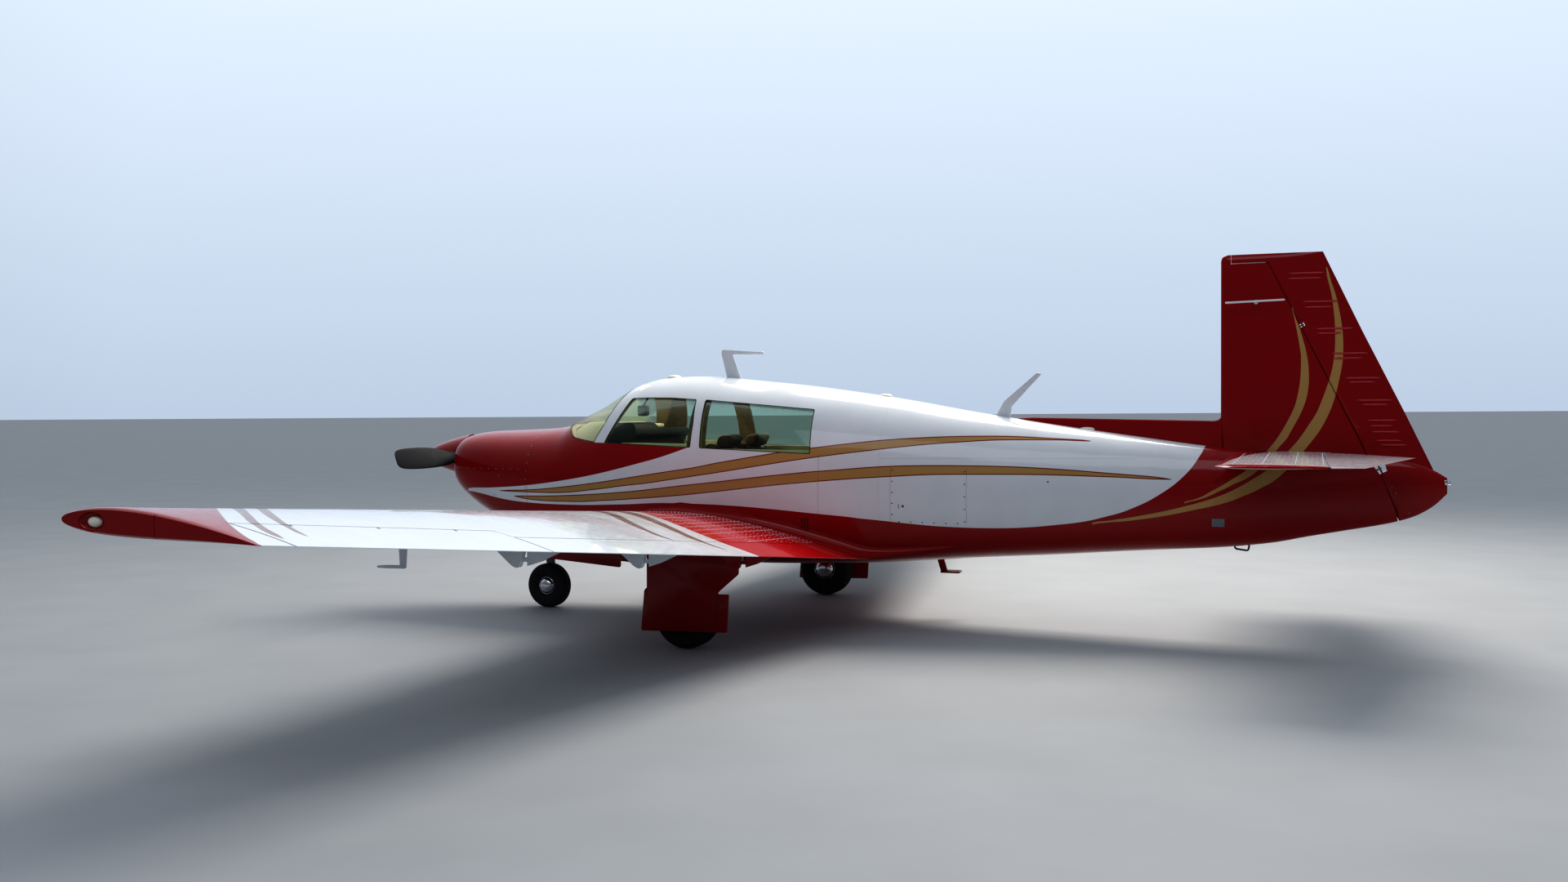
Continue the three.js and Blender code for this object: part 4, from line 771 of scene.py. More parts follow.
def window_hole(outline, side, distance=0.0):
    return prism("y", rounded(inset(outline, distance), WINDOW_CORNER), *SIDES[side])


def door_hole(distance=0.0):
    x, y, reach = DOOR_HINGE
    return common(prism("y", inset(CABIN_DOOR, distance), *SIDES["right"]),
                  rod((x, y, 800), (x, y, 1800), reach - distance, sides=180))


def baggage_hole(distance=0.0):
    return prism("y", rounded(inset(BAGGAGE_DOOR, distance), 30), *SIDES["right"])


HUB = Vector((362, 0, 1183))


def build_cowl():
    """The cowl with its two inlets, split along its side."""
    shell = rolled(fuselage(455, FIREWALL - 0.5, around=128), 10, 3, 60, lambda p: p.x < 456)
    shell = cut(shell, fuselage(470, FIREWALL + 5, 9, around=64))
    inlet = prism("x", rounded([(165, 1150), (300, 1150), (300, 1270), (165, 1270)], 58), 400, 620)
    shaft = rod((400, 0, HUB.z), (620, 0, HUB.z), 82, sides=64)
    shell = cut(shell, together(inlet, mirrored(inlet), shaft))
    shell = cut(shell, block((900, 1300), (-150, 150), (400, 760)))
    shell = lined(shell, depth_test(3.5))
    upper = common(shell.copy(), block((300, 1400), (-700, 700), (COWL_SPLIT + 0.7, 1600)))
    lower = common(shell, block((300, 1400), (-700, 700), (300, COWL_SPLIT - 0.7)))
    finishes = [fuselage_enamel, bay_primer]
    piece("cowl_top", upper, finishes, "airframe", ["cowl_upper"])
    piece("cowl_bottom", lower, finishes, "airframe", ["cowl_lower"])


def build_cabin():
    """The cabin's shell with its openings, the two doors, the rear trim panel and the nose bay."""
    shell = cut(fuselage(FIREWALL, CABIN_BACK - 0.5, around=128, step=40),
                fuselage(FIREWALL + 15, CABIN_BACK + 5, CABIN_WALL, CABIN_FLOOR, 60, 64))
    shell = cut(shell, fuselage(FIREWALL - 5, FIREWALL + 20, 59.5, around=48),
                block((1180, 1677.5), (-162.5, 162.5), (400, 770)), windshield_hole())
    for outline, side in ((FRONT_WINDOW, "left"), (REAR_WINDOW, "left"), (REAR_WINDOW, "right")):
        shell = cut(shell, window_hole(outline, side))
    shell = cut(shell, door_hole(), baggage_hole())
    inside = depth_test(LINING)
    shell = lined(lined(shell, inside), lambda p: inside(p) and p.z < CARPET_TOP, 2)
    finishes = [fuselage_enamel, cabin_vinyl]
    piece("cabin_skin", shell, finishes + [cabin_carpet], "airframe", ["cabin"])
    wall = cut(fuselage(1500, CABIN_BACK, around=128, step=40),
               fuselage(1490, CABIN_BACK + 10, CABIN_WALL, CABIN_FLOOR, 60, 64))
    door = cut(common(wall.copy(), door_hole(6)), window_hole(DOOR_WINDOW, "right"))
    door = lined(door, inside)
    piece("cabin_door_skin", door, finishes, "cabin_door", ["cabin_door"])
    hatch = common(wall, baggage_hole(6))
    hatch = lined(hatch, inside)
    piece("baggage_door_skin", hatch, finishes, "baggage_door", ["baggage_door"])
    bulkhead = fuselage(3904, 3916, CABIN_WALL + 0.5, CABIN_FLOOR + 0.5)
    piece("rear_trim_panel", bulkhead, cabin_vinyl, "airframe", ["rear_bulkhead"])
    bay = cut(block((1236, 1677), (-162, 162), (400, 782)), block((1231, 1665), (-150, 150), (390, 770)))
    bay = common(bay, fuselage(1200, 1720))
    piece("nose_bay_box", bay, bay_primer, "airframe", ["nose_gear_bay"])


PANES = (
    ("windshield_pane", WINDSHIELD, None, "airframe", "windshield"),
    ("front_window_pane_left", FRONT_WINDOW, "left", "airframe", "window_front_left"),
    ("rear_window_pane_left", REAR_WINDOW, "left", "airframe", "window_rear_left"),
    ("rear_window_pane_right", REAR_WINDOW, "right", "airframe", "window_rear_right"),
    ("front_window_pane_right", DOOR_WINDOW, "right", "cabin_door", "cabin_door_window"))


def build_panes():
    """Each pane with a strip of seal on its edge."""
    def layer(start, outer, inner):
        return cut(fuselage(start, CABIN_BACK, outer, step=40, around=128),
                   fuselage(start - 10, CABIN_BACK + 10, inner, step=40, around=128))
    glass, strip = layer(1280, 3, 9), layer(1275, -1.2, 3.2)
    for name, outline, side, body, node_name in PANES:
        def hole(distance, side=side, outline=outline):
            return window_hole(outline, side, distance) if side else windshield_hole(distance)
        finish = window_acrylic if side else windshield_acrylic
        piece(name, common(glass.copy(), hole(0.5)), finish, body, [node_name])
        seal = cut(common(strip.copy(), hole(0.3)), hole(4.5))
        piece(name.replace("pane", "seal"), seal, seal_rubber, body)
    glass.free()
    strip.free()


def build_tail_cone():
    cone = fuselage(CABIN_BACK, TAIL_JOINT, around=96, step=60)
    piece("tail_cone_skin", cone, fuselage_enamel, "airframe", ["tail_cone"])


# Wing

WING_LE, WING_ROOT, WING_TIP, WING_TIP_Y = 2070, 1850, 970, 5450
FLAP = {"inner": 640, "outer": 3784, "chords": (262, 212)}
AILERON = {"inner": 3798, "outer": 5316, "chords": (322, 318)}
RUNNING = 8
FAIRINGS = (1600, 2650, 3690)
FAIRING_WIDTH = 34
AILERON_BRACKETS = (4080, 4560, 5040)
TIP_RINGS = ((5330.5, 1), (5400, 1), (5465, 0.99), (5491, 0.93), (5500, 0.8))
TIP_LIGHT = Vector((2226, 5490, 1115))
JACK_PAD = (2560, 1900)
WELL_X, WELL_Y, WELL_COVER = (2668, 3176), (760, 1500), 46


def chord(y):
    return WING_ROOT - (WING_ROOT - WING_TIP) * y / WING_TIP_Y


def foil(s, side, thickness, camber=0.02):
    """Height of an aerofoil's upper or lower side, as a share of its chord: a standard thickness
    formula on a parabolic camber line."""
    curve = 0.2969 * math.sqrt(s) - 0.126 * s - 0.3516 * s ** 2 + 0.2843 * s ** 3 - 0.1015 * s ** 4
    half = 5 * thickness * curve
    return 4 * camber * s * (1 - s) + side * half


def leading_z(y):
    return 658 + 0.0846 * y


def trailing_z(y):
    return 461 + 0.1062 * y


def foil_loop(thickness, camber, steps=26):
    """Share of the chord and height, from the trailing edge over the top and back underneath."""
    shares = [1 - math.cos(math.pi * i / (2 * steps)) for i in range(steps + 1)]
    return ([(s, foil(s, 1, thickness, camber)) for s in reversed(shares)]
            + [(s, foil(s, -1, thickness, camber)) for s in shares[1:]])


def wing_ratio(y):
    """The wing's thickness as a share of its chord."""
    return 0.15 - 0.03 * y / WING_TIP_Y


def wing_ring(y, grow=1.0):
    c, low, high = chord(y), trailing_z(y), leading_z(y)
    return [Vector((WING_LE + s * c, y, high + (low - high) * s + h * c))
            for s, h in foil_loop(wing_ratio(y) * grow, 0.02)]


def wing_z(x, y, side):
    """The height of the wing's upper or lower skin."""
    c = chord(y)
    s = min(1.0, max(0.0, (x - WING_LE) / c))
    return leading_z(y) + (trailing_z(y) - leading_z(y)) * s + foil(s, side, wing_ratio(y)) * c


def hinge_x(part, y):
    share = (y - part["inner"]) / (part["outer"] - part["inner"])
    return WING_LE + chord(y) - (part["chords"][0] + (part["chords"][1] - part["chords"][0]) * share)


def behind_hinge(part, start, end, shift, slant=0.0):
    """All that lies aft of a flap's or aileron's edge, between two distances along the wing."""
    rings = []
    for y in (start, end):
        x, z = hinge_x(part, y) + shift, wing_z(hinge_x(part, y), y, 1)
        rings.append([Vector((a, y, b)) for a, b in (
            (x - 200 * slant, z + 200), (4300, z + 200), (4300, z - 300), (x + 300 * slant, z - 300))])
    return loft(rings)


def pivot(part, side, behind, below):
    """The hinge line of a flap or aileron, as a function of the distance along the wing."""
    ends = [wing_z(hinge_x(part, part[e]), part[e], side) - below for e in ("inner", "outer")]

    def at(y):
        share = (y - part["inner"]) / (part["outer"] - part["inner"])
        return Vector((hinge_x(part, y) + behind, y, ends[0] + (ends[1] - ends[0]) * share))
    return at


flap_pivot = pivot(FLAP, -1, 0, 45)
aileron_pivot = pivot(AILERON, 1, 9, 15)


def cross_bar(line, y, radius, width, sides=28):
    return rod(line(y - width / 2), line(y + width / 2), radius, sides=sides)


def well_roof(x):
    """A straight line under the wing's upper skin, over the middle of the wheel well."""
    front, rear = (wing_z(edge, sum(WELL_Y) / 2, 1) - WELL_COVER for edge in WELL_X)
    return front + (rear - front) * (x - WELL_X[0]) / (WELL_X[1] - WELL_X[0])


def fairing_front(y):
    """The fixed half of a flap hinge's fairing, a teardrop under the wing."""
    x, z = hinge_x(FLAP, y), wing_z(hinge_x(FLAP, y), y, -1)
    half = FAIRING_WIDTH / 2
    outline = [(x - 12, z + 30), (x - 44, z - 80), (x - 62, z - 88), (x - 90, z - 76), (x - 215, z + 30)]
    body = rolled(prism("y", rounded(outline, 14, 4), y - half, y + half), 7, 3, 50)
    point = flap_pivot(y)
    arm = block((x - 60, x), (y - 5.5, y + 5.5), (point.z - 11, point.z + 11))
    return cut(together(body, arm, cross_bar(flap_pivot, y, 11, 11)), cross_bar(flap_pivot, y, 5.7, 60))


def fairing_rear(y):
    """The half of the fairing that moves with the flap, with its eye and pin."""
    x, z = hinge_x(FLAP, y), wing_z(hinge_x(FLAP, y), y, -1)
    half = FAIRING_WIDTH / 2
    tail = wing_z(x + 180, y, -1)
    outline = [
        (x + 1, z + 20), (x + 180, tail + 4), (x + 166, tail - 4), (x + 70, z - 52), (x + 1, z - 74)]
    body = rolled(prism("y", outline, y - half, y + half), 7, 3, 50, lambda p: x + 4 < p.x < x + 160)
    body = joined(body, cross_bar(flap_pivot, y, 12, FAIRING_WIDTH))
    pin = cross_bar(flap_pivot, y, 5, FAIRING_WIDTH - 2)
    return together(cut(body, cross_bar(flap_pivot, y, 18, 22)), pin)


def build_root_fillets():
    """The concave fairing between the fuselage's side and the wing, which runs out aft of the wing."""
    rings = []
    for x, rise, reach, low in ROOT_FILLET:
        low = wing_z(x, reach, 1) + 0.8 if low is None else low
        high = side_of(x, low + rise)
        top, corner = Vector((high + 0.6, low + rise)), Vector((side_of(x, low) + 3, low + 2))
        foot = Vector((reach, low))
        arc_points = [top.lerp(corner, t).lerp(corner.lerp(foot, t), t) for t in (k / 10 for k in range(11))]
        back = [(reach - 4, low - 9), (high - 30, low - 9), (high - 30, low + rise)]
        rings.append([Vector((x, *p)) for p in [*arc_points, *back]])
    pair("wing_root_fillet", loft(rings), red_enamel, "airframe", "paint_red")


def in_well(p):
    """True on the walls and the roof of the wheel well, not on the wing's own skin."""
    return (WELL_X[0] - 1 < p.x < WELL_X[1] + 1 and WELL_Y[0] - 1 < p.y < WELL_Y[1] + 1
            and wing_z(p.x, p.y, -1) + 1 < p.z < wing_z(p.x, p.y, 1) - 2)


def build_wings():
    """Wing, flap, aileron and tip of each side, with the hinges and fairings under them."""
    inner, outer, bays = 420, 5330, 30
    panel = loft([wing_ring(inner + (outer - inner) * k / bays) for k in range(bays + 1)])
    outside = fuselage(700, 6000, -0.5, step=60)
    well = prism("y", [(WELL_X[0], 300), (WELL_X[1], 300), (WELL_X[1], well_roof(WELL_X[1])),
                       (WELL_X[0], well_roof(WELL_X[0]))], *WELL_Y)
    border = (FLAP["outer"] + AILERON["inner"]) / 2
    fixed = cut(panel.copy(), outside, well, behind_hinge(FLAP, FLAP["inner"] - RUNNING, border, -RUNNING),
                behind_hinge(AILERON, border, 5380, -RUNNING))
    fixed = lined(fixed, in_well)
    pair("wing_skin", fixed, [wing_enamel, bay_primer], "airframe", "paint_white", ["wing"], 24)
    fixed_hinges = together(*[fairing_front(y) for y in FAIRINGS[1:]])
    pair("flap_hinge_fairings", fixed_hinges, white_enamel, "airframe", "paint_white")
    pair("flap_hinge_fairing_inner", fairing_front(FAIRINGS[0]), red_enamel, "airframe", "paint_red")
    brackets = []
    for y in AILERON_BRACKETS:
        point = aileron_pivot(y)
        arm = block((point.x - 50, point.x), (y - 4, y + 4), (point.z - 9, point.z + 9))
        arm = together(arm, cross_bar(aileron_pivot, y, 9, 8))
        brackets.append(cut(arm, cross_bar(aileron_pivot, y, 4.6, 40)))
    pair("aileron_brackets", together(*brackets), bare_alloy, "airframe", "gear_steel")
    profile = [[0, -24], [18, -24], [20, -20], [20, -4], [26, 6], [26, 30], [0, 30]]
    x, y = JACK_PAD
    pads = turned(profile, (x, y, wing_z(x, y, -1)), "z", 40)
    pair("jack_pads", pads, bare_alloy, "airframe", "gear_steel")

    flap = common(panel.copy(), behind_hinge(FLAP, FLAP["inner"], FLAP["outer"], 0))
    flaps, ailerons = ("flap_right", "flap_left"), ("aileron_right", "aileron_left")
    pair("flap_skin", flap, wing_enamel, flaps, "paint_white", ["flap"], 24)
    rears = together(*[fairing_rear(y) for y in FAIRINGS[1:]])
    pair("flap_fairing_rears", rears, white_enamel, flaps, "paint_white")
    pair("flap_fairing_rear_inner", fairing_rear(FAIRINGS[0]), red_enamel, flaps, "paint_red")
    aileron = common(panel, behind_hinge(AILERON, AILERON["inner"], AILERON["outer"], 0, 0.3))
    aileron = cut(aileron, *[cross_bar(aileron_pivot, y, 16, 20) for y in AILERON_BRACKETS])
    aileron = together(aileron, *[cross_bar(aileron_pivot, y, 4, 28) for y in AILERON_BRACKETS])
    pair("aileron_skin", aileron, wing_enamel, ailerons, "paint_white", ["aileron"], 24)

    tip = loft([wing_ring(y, grow) for y, grow in TIP_RINGS])
    scoop = egg(TIP_LIGHT + Vector((0, 9, 0)), (68, 24, 40))
    joint = block((2539, 2542), (5494, 5510), (900, 1300))
    pair("wing_tip_cap", cut(tip, scoop, joint), wing_enamel, "airframe", "paint_red", ["wing_tip"], 40)
    light = egg(TIP_LIGHT - Vector((0, 11, 0)), (36, 20, 22))
    pair("wing_tip_light", light, opal_plastic, "airframe", "window_acrylic")


# Propeller, spinner and engine

BLADE = [  # distance from the hub's middle, chord, thickness, pitch in degrees
    [40, 76, 76, 0], [110, 76, 75, 30], [175, 78, 72, 60], [215, 100, 52, 55], [260, 138, 34, 48],
    [330, 160, 28, 41], [400, 172, 24, 36], [500, 176, 20, 31], [600, 176, 17, 27], [700, 172, 14, 24],
    [800, 164, 12, 21], [860, 154, 10, 20], [900, 140, 9, 19], [922, 122, 8, 18.6],
    [934, 102, 7, 18.3], [940, 78, 6, 18]]
BLADE_SIDES = 32


def blade():
    """One blade, twisted and tapered from root to tip."""
    rings = []
    for y, wide, thick, pitch in BLADE:
        turn = math.radians(pitch)
        points = []
        for k in range(BLADE_SIDES):
            a = math.tau * k / BLADE_SIDES
            along, across = wide / 2 * math.cos(a), thick / 2 * math.sin(a)
            points.append(Vector((HUB.x - along * math.sin(turn) + across * math.cos(turn), y,
                                  HUB.z - along * math.cos(turn) - across * math.sin(turn))))
        rings.append(points)
    return loft(rings)


def build_propeller():
    """Two blades, their hub and the spinner round it."""
    one = blade()
    other = one.copy()
    half_turn = Matrix.Rotation(math.pi, 3, "X")
    bmesh.ops.rotate(other, cent=HUB, matrix=half_turn, verts=other.verts)
    blades = together(one, other)
    piece("propeller_blades", blades, propeller_enamel, "propeller", ["propeller"], 50)
    hub = turned([[0, 290], [56, 290], [60, 294], [60, 300], [78, 309], [78, 404], [161, 404], [161, 418],
                  [46, 418], [46, 672], [0, 672]], (0, 0, HUB.z), "x", 72)
    piece("propeller_hub", hub, wheel_alloy, "propeller")
    wide, long = 170, 420
    steps = [0, 1.5, 6, 14, 28, 50, 80, 120, 170, 220, 270, 320, 370, 405]
    outer = [[wide * math.sqrt(x / long), x] for x in steps] + [[169.2, 415], [169.4, 420]]
    inner = [[wide * math.sqrt(x / long) - 5, x] for x in (420, 320, 220, 120, 50)] + [[0, 24]]
    hole = rod((HUB.x, -200, HUB.z), (HUB.x, 200, HUB.z), 46, sides=48)
    spinner = cut(turned(outer + inner, (0, 0, HUB.z), "x", 96), hole)
    piece("spinner_shell", spinner, red_enamel, "propeller", ["spinner"])
    plate = []
    for k in range(12):
        a = math.tau * (k + 0.5) / 12
        way = Vector((0, math.cos(a), math.sin(a)))
        plate.append((Vector((410, 0, HUB.z)) + way * 169.4, way))
    piece("spinner_screws", studs(plate, 5, 1.6, 12), bare_alloy, "propeller")


def studs(places, radius, height, sides=8):
    """Rivet or screw heads: a low cone on each place, square to its surface."""
    shape = bmesh.new()
    for point, way in places:
        turn = Vector(way).to_track_quat("Z", "Y").to_matrix().to_4x4()
        bmesh.ops.create_cone(shape, cap_ends=True, segments=sides, radius1=radius, radius2=radius * 0.62,
                              depth=height, matrix=Matrix.Translation(point) @ turn)
    return shape


def build_engine():
    """The firewall, the engine behind the inlets and the exhaust under the belly."""
    above_bay = block((1200, 1260), (-600, 600), (775, 1500))
    sheet = common(fuselage(FIREWALL + 0.5, FIREWALL + 14, 60), above_bay)
    piece("firewall_sheet", sheet, firewall_stainless, "airframe", ["firewall"])
    case = rolled(block((640, 1180), (-130, 130), (900, 1240)), 26, 3)
    neck = turned([[0, 0], [112, 0], [112, 30], [84, 60], [70, 110], [0, 110]], (560, 0, HUB.z), "x", 40)
    barrels = []
    for x in (760, 950):
        for side in (-1, 1):
            profile = [[0, 130]]
            for k in range(14):
                y = 132 + k * 13
                profile += [[66, y], [86, y + 1], [86, y + 5], [66, y + 6]]
            profile += [[70, 318], [80, 322], [80, 372], [60, 378], [0, 378]]
            one = turned(profile, (x, 0, 1060), "y", 36)
            barrels.append(one if side > 0 else mirrored(one))
    mounts = [rod((1100, s * 150, z), (1219, s * 220, z + 10), 12) for s in (-1, 1) for z in (960, 1190)]
    engine = together(case, neck, *barrels, *mounts)
    piece("engine_castings", engine, engine_casting, "airframe", ["engine"])
    path = arc([(1690, 200, 500), (1800, 200, 446), (1945, 200, 375)], 6)
    bore = [p + Vector((0, 0, -0.01)) for p in path[2:]] + [Vector((1990, 200, 353))]
    pipe = cut(cut(tube(path, 25, 32), tube(bore, 22, 32)), fuselage(1500, 2200, -0.5))
    piece("exhaust_stub", pipe, exhaust_stainless, "airframe", ["exhaust_pipe"])


# Tail

RUDDER_LOW, RUDDER_HIGH = Vector((7285, 0, 785)), Vector((6393, 0, 2559))
RUDDER_NOSE = [[0, 44], [0.12, 52], [0.22, 44], [0.3, 31], [0.6, 25], [1, 17]]
RUDDER_WAY = (RUDDER_HIGH - RUDDER_LOW).normalized()
FIN_LE = 6140
FIN_TRAILING = [(1086, 7439), (1496, 7250), (2017, 7000), (2530, 6765)]
TAIL_Z, TAIL_LE, TAIL_HINGE = 1214.5, 6207, 6810
CLEARANCE = 10
HINGES = {"low": 0.2, "high": 0.72}  # share of the way up the rudder's axis


def between(points, at):
    """The value at a place on a line through the points."""
    i = next((k for k, p in enumerate(points) if p[0] >= at), len(points) - 1)
    (a, p), (b, q) = points[max(1, i) - 1], points[max(1, i)]
    return p + (q - p) * (at - a) / (b - a)


def fin_trailing(z):
    return between(FIN_TRAILING, z)


def fin_ratio(z):
    """The fin's thickness as a share of its chord."""
    return 0.075 + 0.015 * (z - 1090) / 1440


def fin_half(x, z):
    """Half the fin's and rudder's thickness at a station and height."""
    c = fin_trailing(z) - FIN_LE
    return foil(min(1.0, max(0.0, (x - FIN_LE) / c)), 1, fin_ratio(z), 0) * c


def fin_ring(z, front=0, grow=1.0):
    c = fin_trailing(z) - FIN_LE - front
    return [Vector((FIN_LE + front + s * c, h * c, z)) for s, h in foil_loop(fin_ratio(z) * grow, 0)]


def fin_shape(grow=1.0):
    heights = [(1090 + 100 * k, 0, 1) for k in range(15)] + [
        (2503, 3, 0.93), (2514, 8, 0.84), (2523, 18, 0.68), (2530, 35, 0.45)]
    return loft([fin_ring(z, front, g * grow) for z, front, g in heights])


# The strip ahead of the fin: station, foot, top, half width.
DORSAL = (
    (4790, 1380, 1461, 10), (4800, 1380, 1466, 12), (4900, 1370, 1471, 14), (6098, 1230, 1446, 30),
    (6122, 1230, 1451, 30), (6136, 1230, 1463, 31), (6148, 1230, 1492, 31))


def dorsal_ring(x, low, high, wide):
    half = [(wide, low), (wide * 0.55, (low + high) / 2), (6, high - 7)]
    across = half + [(0, high)] + [(-y, z) for y, z in reversed(half)]
    return [Vector((x, y, z)) for y, z in across]


def dorsal_shape():
    return loft([dorsal_ring(*row) for row in DORSAL])


def about_rudder_axis(extra):
    """The rudder's round nose along its axis, thicker by a clearance."""
    length = (RUDDER_HIGH - RUDDER_LOW).length
    profile = [[r + extra, share * length] for share, r in RUDDER_NOSE]
    foot = [[0, -60], [RUDDER_NOSE[0][1] + extra, -60]]
    shape = turned(foot + profile + [[0, length]], (0, 0, 0), "z", 40)
    turn = RUDDER_WAY.to_track_quat("Z", "Y").to_matrix().to_4x4()
    bmesh.ops.transform(shape, matrix=Matrix.Translation(RUDDER_LOW) @ turn, verts=shape.verts)
    return shape


def behind_rudder_axis():
    """All that lies aft of the sloping axis."""
    (x0, _, z0), (x1, _, z1) = RUDDER_LOW, RUDDER_HIGH
    slope = (x1 - x0) / (z1 - z0)
    low, high = (x0 - slope * 200, z0 - 200), (x1 + slope * 60, z1 + 60)
    return prism("y", [low, (7800, low[1]), (7800, high[1]), high], -300, 300)


def on_axis(share, offset=0.0):
    return RUDDER_LOW.lerp(RUDDER_HIGH, share) + RUDDER_WAY * offset


def axis_disc(share, height, radius):
    return rod(on_axis(share, -height / 2), on_axis(share, height / 2), radius, sides=40)


def rudder_plate(share, reach):
    """A hinge plate on the fixed side, square to the rudder's axis."""
    aft = Vector((RUDDER_WAY.z, 0, -RUDDER_WAY.x))
    turn = Matrix((aft, RUDDER_WAY, aft.cross(RUDDER_WAY))).transposed().to_4x4()
    arm = block((-reach, 0), (-5, 5), (-10, 10))
    bmesh.ops.transform(arm, matrix=Matrix.Translation(on_axis(share)) @ turn, verts=arm.verts)
    return cut(joined(arm, axis_disc(share, 10, 10)), axis_disc(share, 60, 5.4))


# Pressed beads on the rudder's skin: front and rear station, height.
RUDDER_BEADS = [
    (6559, 6773, 2395), (6551, 6757, 2362), (6644, 6860, 2210), (6655, 6821, 2175), (6727, 6950, 2035),
    (6735, 6876, 2006), (6821, 7035, 1875), (6829, 7000, 1844), (6900, 7110, 1717), (6923, 7078, 1691),
    (6970, 7180, 1575), (7001, 7155, 1547), (7033, 7201, 1447), (7048, 7179, 1412), (7056, 7217, 1374),
    (7087, 7232, 1319), (7110, 7263, 1291)]


def tail_trailing(y):
    return 7337 - 0.207 * y


def tail_ratio(y):
    return 0.062 - 0.000012 * y


def tail_ring(y, front=0, grow=1.0):
    c = tail_trailing(y) - TAIL_LE - front
    loop = foil_loop(tail_ratio(y) * grow, 0, 22)
    return [Vector((TAIL_LE + front + s * c, y, TAIL_Z + h * c)) for s, h in loop]


def tail_shape():
    ends = [(25 + (1690 - 25) * k / 14, 0, 1) for k in range(15)] + [
        (1725, 5, 0.94), (1752, 18, 0.8), (1772, 40, 0.6), (1784, 58, 0.45), (1790, 75, 0.35)]
    return loft([tail_ring(*e) for e in ends])


def elevator_nose(extra):
    return rod((TAIL_HINGE, 118 - extra, TAIL_Z), (TAIL_HINGE, 1800, TAIL_Z), 41 + extra, 16 + extra, 48)


def tail_body():
    """The aft fuselage, a little larger than life, to take away from what joins it."""
    return fuselage(4000, 7495, -0.5, step=60)


def hinge_rod(half, radius, sides=32):
    return rod((TAIL_HINGE, -half, TAIL_Z), (TAIL_HINGE, half, TAIL_Z), radius, sides=sides)


def build_tail():
    """The fairing, fin, rudder, tailplane and elevators with their hinges."""
    tube_bore = hinge_rod(400, 18.6)
    fairing = cut(fuselage(TAIL_JOINT + 0.5, 7400, step=40), behind_rudder_axis(),
                  about_rudder_axis(CLEARANCE), tube_bore.copy())
    piece("tail_fairing_skin", fairing, fuselage_enamel, "airframe", ["tail_fairing"], 28)
    piece("rudder_hinge_low", rudder_plate(HINGES["low"], 95), bare_alloy, "airframe")
    over_fin = block((6203, 7600), (-200, 200), (2469, 2700))
    fin = cut(fin_shape(), tail_body(), behind_rudder_axis(), about_rudder_axis(CLEARANCE),
              over_fin, tube_bore, rod((6360, -100, 2216), (6360, 100, 2216), 9.5))
    piece("fin_skin", fin, fin_enamel, "airframe", ["fin"], 28)
    dorsal = cut(dorsal_shape(), tail_body())
    piece("dorsal_strip", dorsal, red_enamel, "airframe")
    piece("rudder_hinge_high", rudder_plate(HINGES["high"], 62), bare_alloy, "airframe")

    over_gap = block((6205, 7600), (-200, 200), (2474, 2700))
    part = joined(behind_rudder_axis(), about_rudder_axis(0), over_gap)
    # Share of the way up the axis, height and radius.
    notches = [(HINGES["low"], 56, 56), (HINGES["high"], 22, 30)]
    blade_part = common(fin_shape(), part.copy())
    foot = common(fuselage(6800, 7495, step=40), part)
    rudder = cut(joined(blade_part, foot), *[axis_disc(*n) for n in notches])
    rudder = together(rudder, *[axis_disc(share, height + 16, 5) for share, height, _ in notches])
    piece("rudder_skin", rudder, fin_enamel, "rudder", ["rudder"], 28)
    beads = []
    for front, rear, z in RUDDER_BEADS:
        for side in (-1, 1):
            steps = [front + (rear - front) * k / 8 for k in range(9)]
            path = [(x, side * fin_half(x, z), z) for x in steps]
            beads.append(tube(path, [2] + [6] * 7 + [2], 8))
    # The beads' lighter red is a painted highlight on the rudder's own red.
    piece("rudder_beads", together(*beads), bead_highlight_enamel, "rudder", (), 60)
    lamp = rolled(block((7494, 7517), (-13, 13), (1042, 1070)), 9, 4)
    piece("tail_lamp", lamp, lens_acrylic, "rudder")
    base = rolled(block((7478, 7498), (-14, 14), (1040, 1072)), 3)
    piece("tail_lamp_base", base, chrome_plate, "rudder")

    aft_part = block((TAIL_HINGE, 7500), (0, 1900), (1000, 1400))
    grown = fin_shape(1.03)
    stab = cut(tail_shape(), aft_part, hinge_rod(400, 26), elevator_nose(RUNNING), tail_body(), grown)
    pair("stabilizer_skin", stab, tailplane_enamel, "airframe", "paint_white", ["stabilizer"], 24)
    behind = prism("z", [(TAIL_HINGE, 118), (7400, 178), (7400, 1900), (TAIL_HINGE, 1900)], 1000, 1400)
    half = common(tail_shape(), joined(behind, elevator_nose(0)))
    elevators = together(half, mirrored(half), hinge_rod(130, 18))
    piece("elevator_skins", elevators, tailplane_enamel, "elevators", ["elevators"], 24)


# Landing gear

MAIN_AXLE = Vector((2922, 1395, 218))
NOSE_AXLE = Vector((1102, 0, 172))
STEER_X = 1052
RIM_SHARE = 0.34  # half a rim's width, as a share of its tyre's
DOOR_RIBS = (185, 330, 585)


def tyre(radius, width, rim, centre, grooves):
    """A tyre with a rounded shoulder and grooves round its tread."""
    w = width / 2
    half = [[rim + 0.5, w * 0.72], [rim + 5, w * 0.78], [rim + 14, w * 0.86], [radius * 0.6, w * 0.965],
            [radius * 0.66, w], [radius * 0.74, w], [radius * 0.82, w * 0.97], [radius * 0.88, w * 0.9],
            [radius * 0.93, w * 0.8], [radius * 0.965, w * 0.66], [radius * 0.985, w * 0.5]]
    tread = []
    for g in grooves:
        r = radius - 2.5 * (g / w) ** 2 - 0.3
        tread += [[r, g + 4.5], [r - 6, g + 2.6], [r - 6, g - 2.6], [r, g - 4.5]]
    profile = half + tread + [[r, -h] for r, h in reversed(half)] + [half[0]]
    return turned(profile, centre, "y", 96)


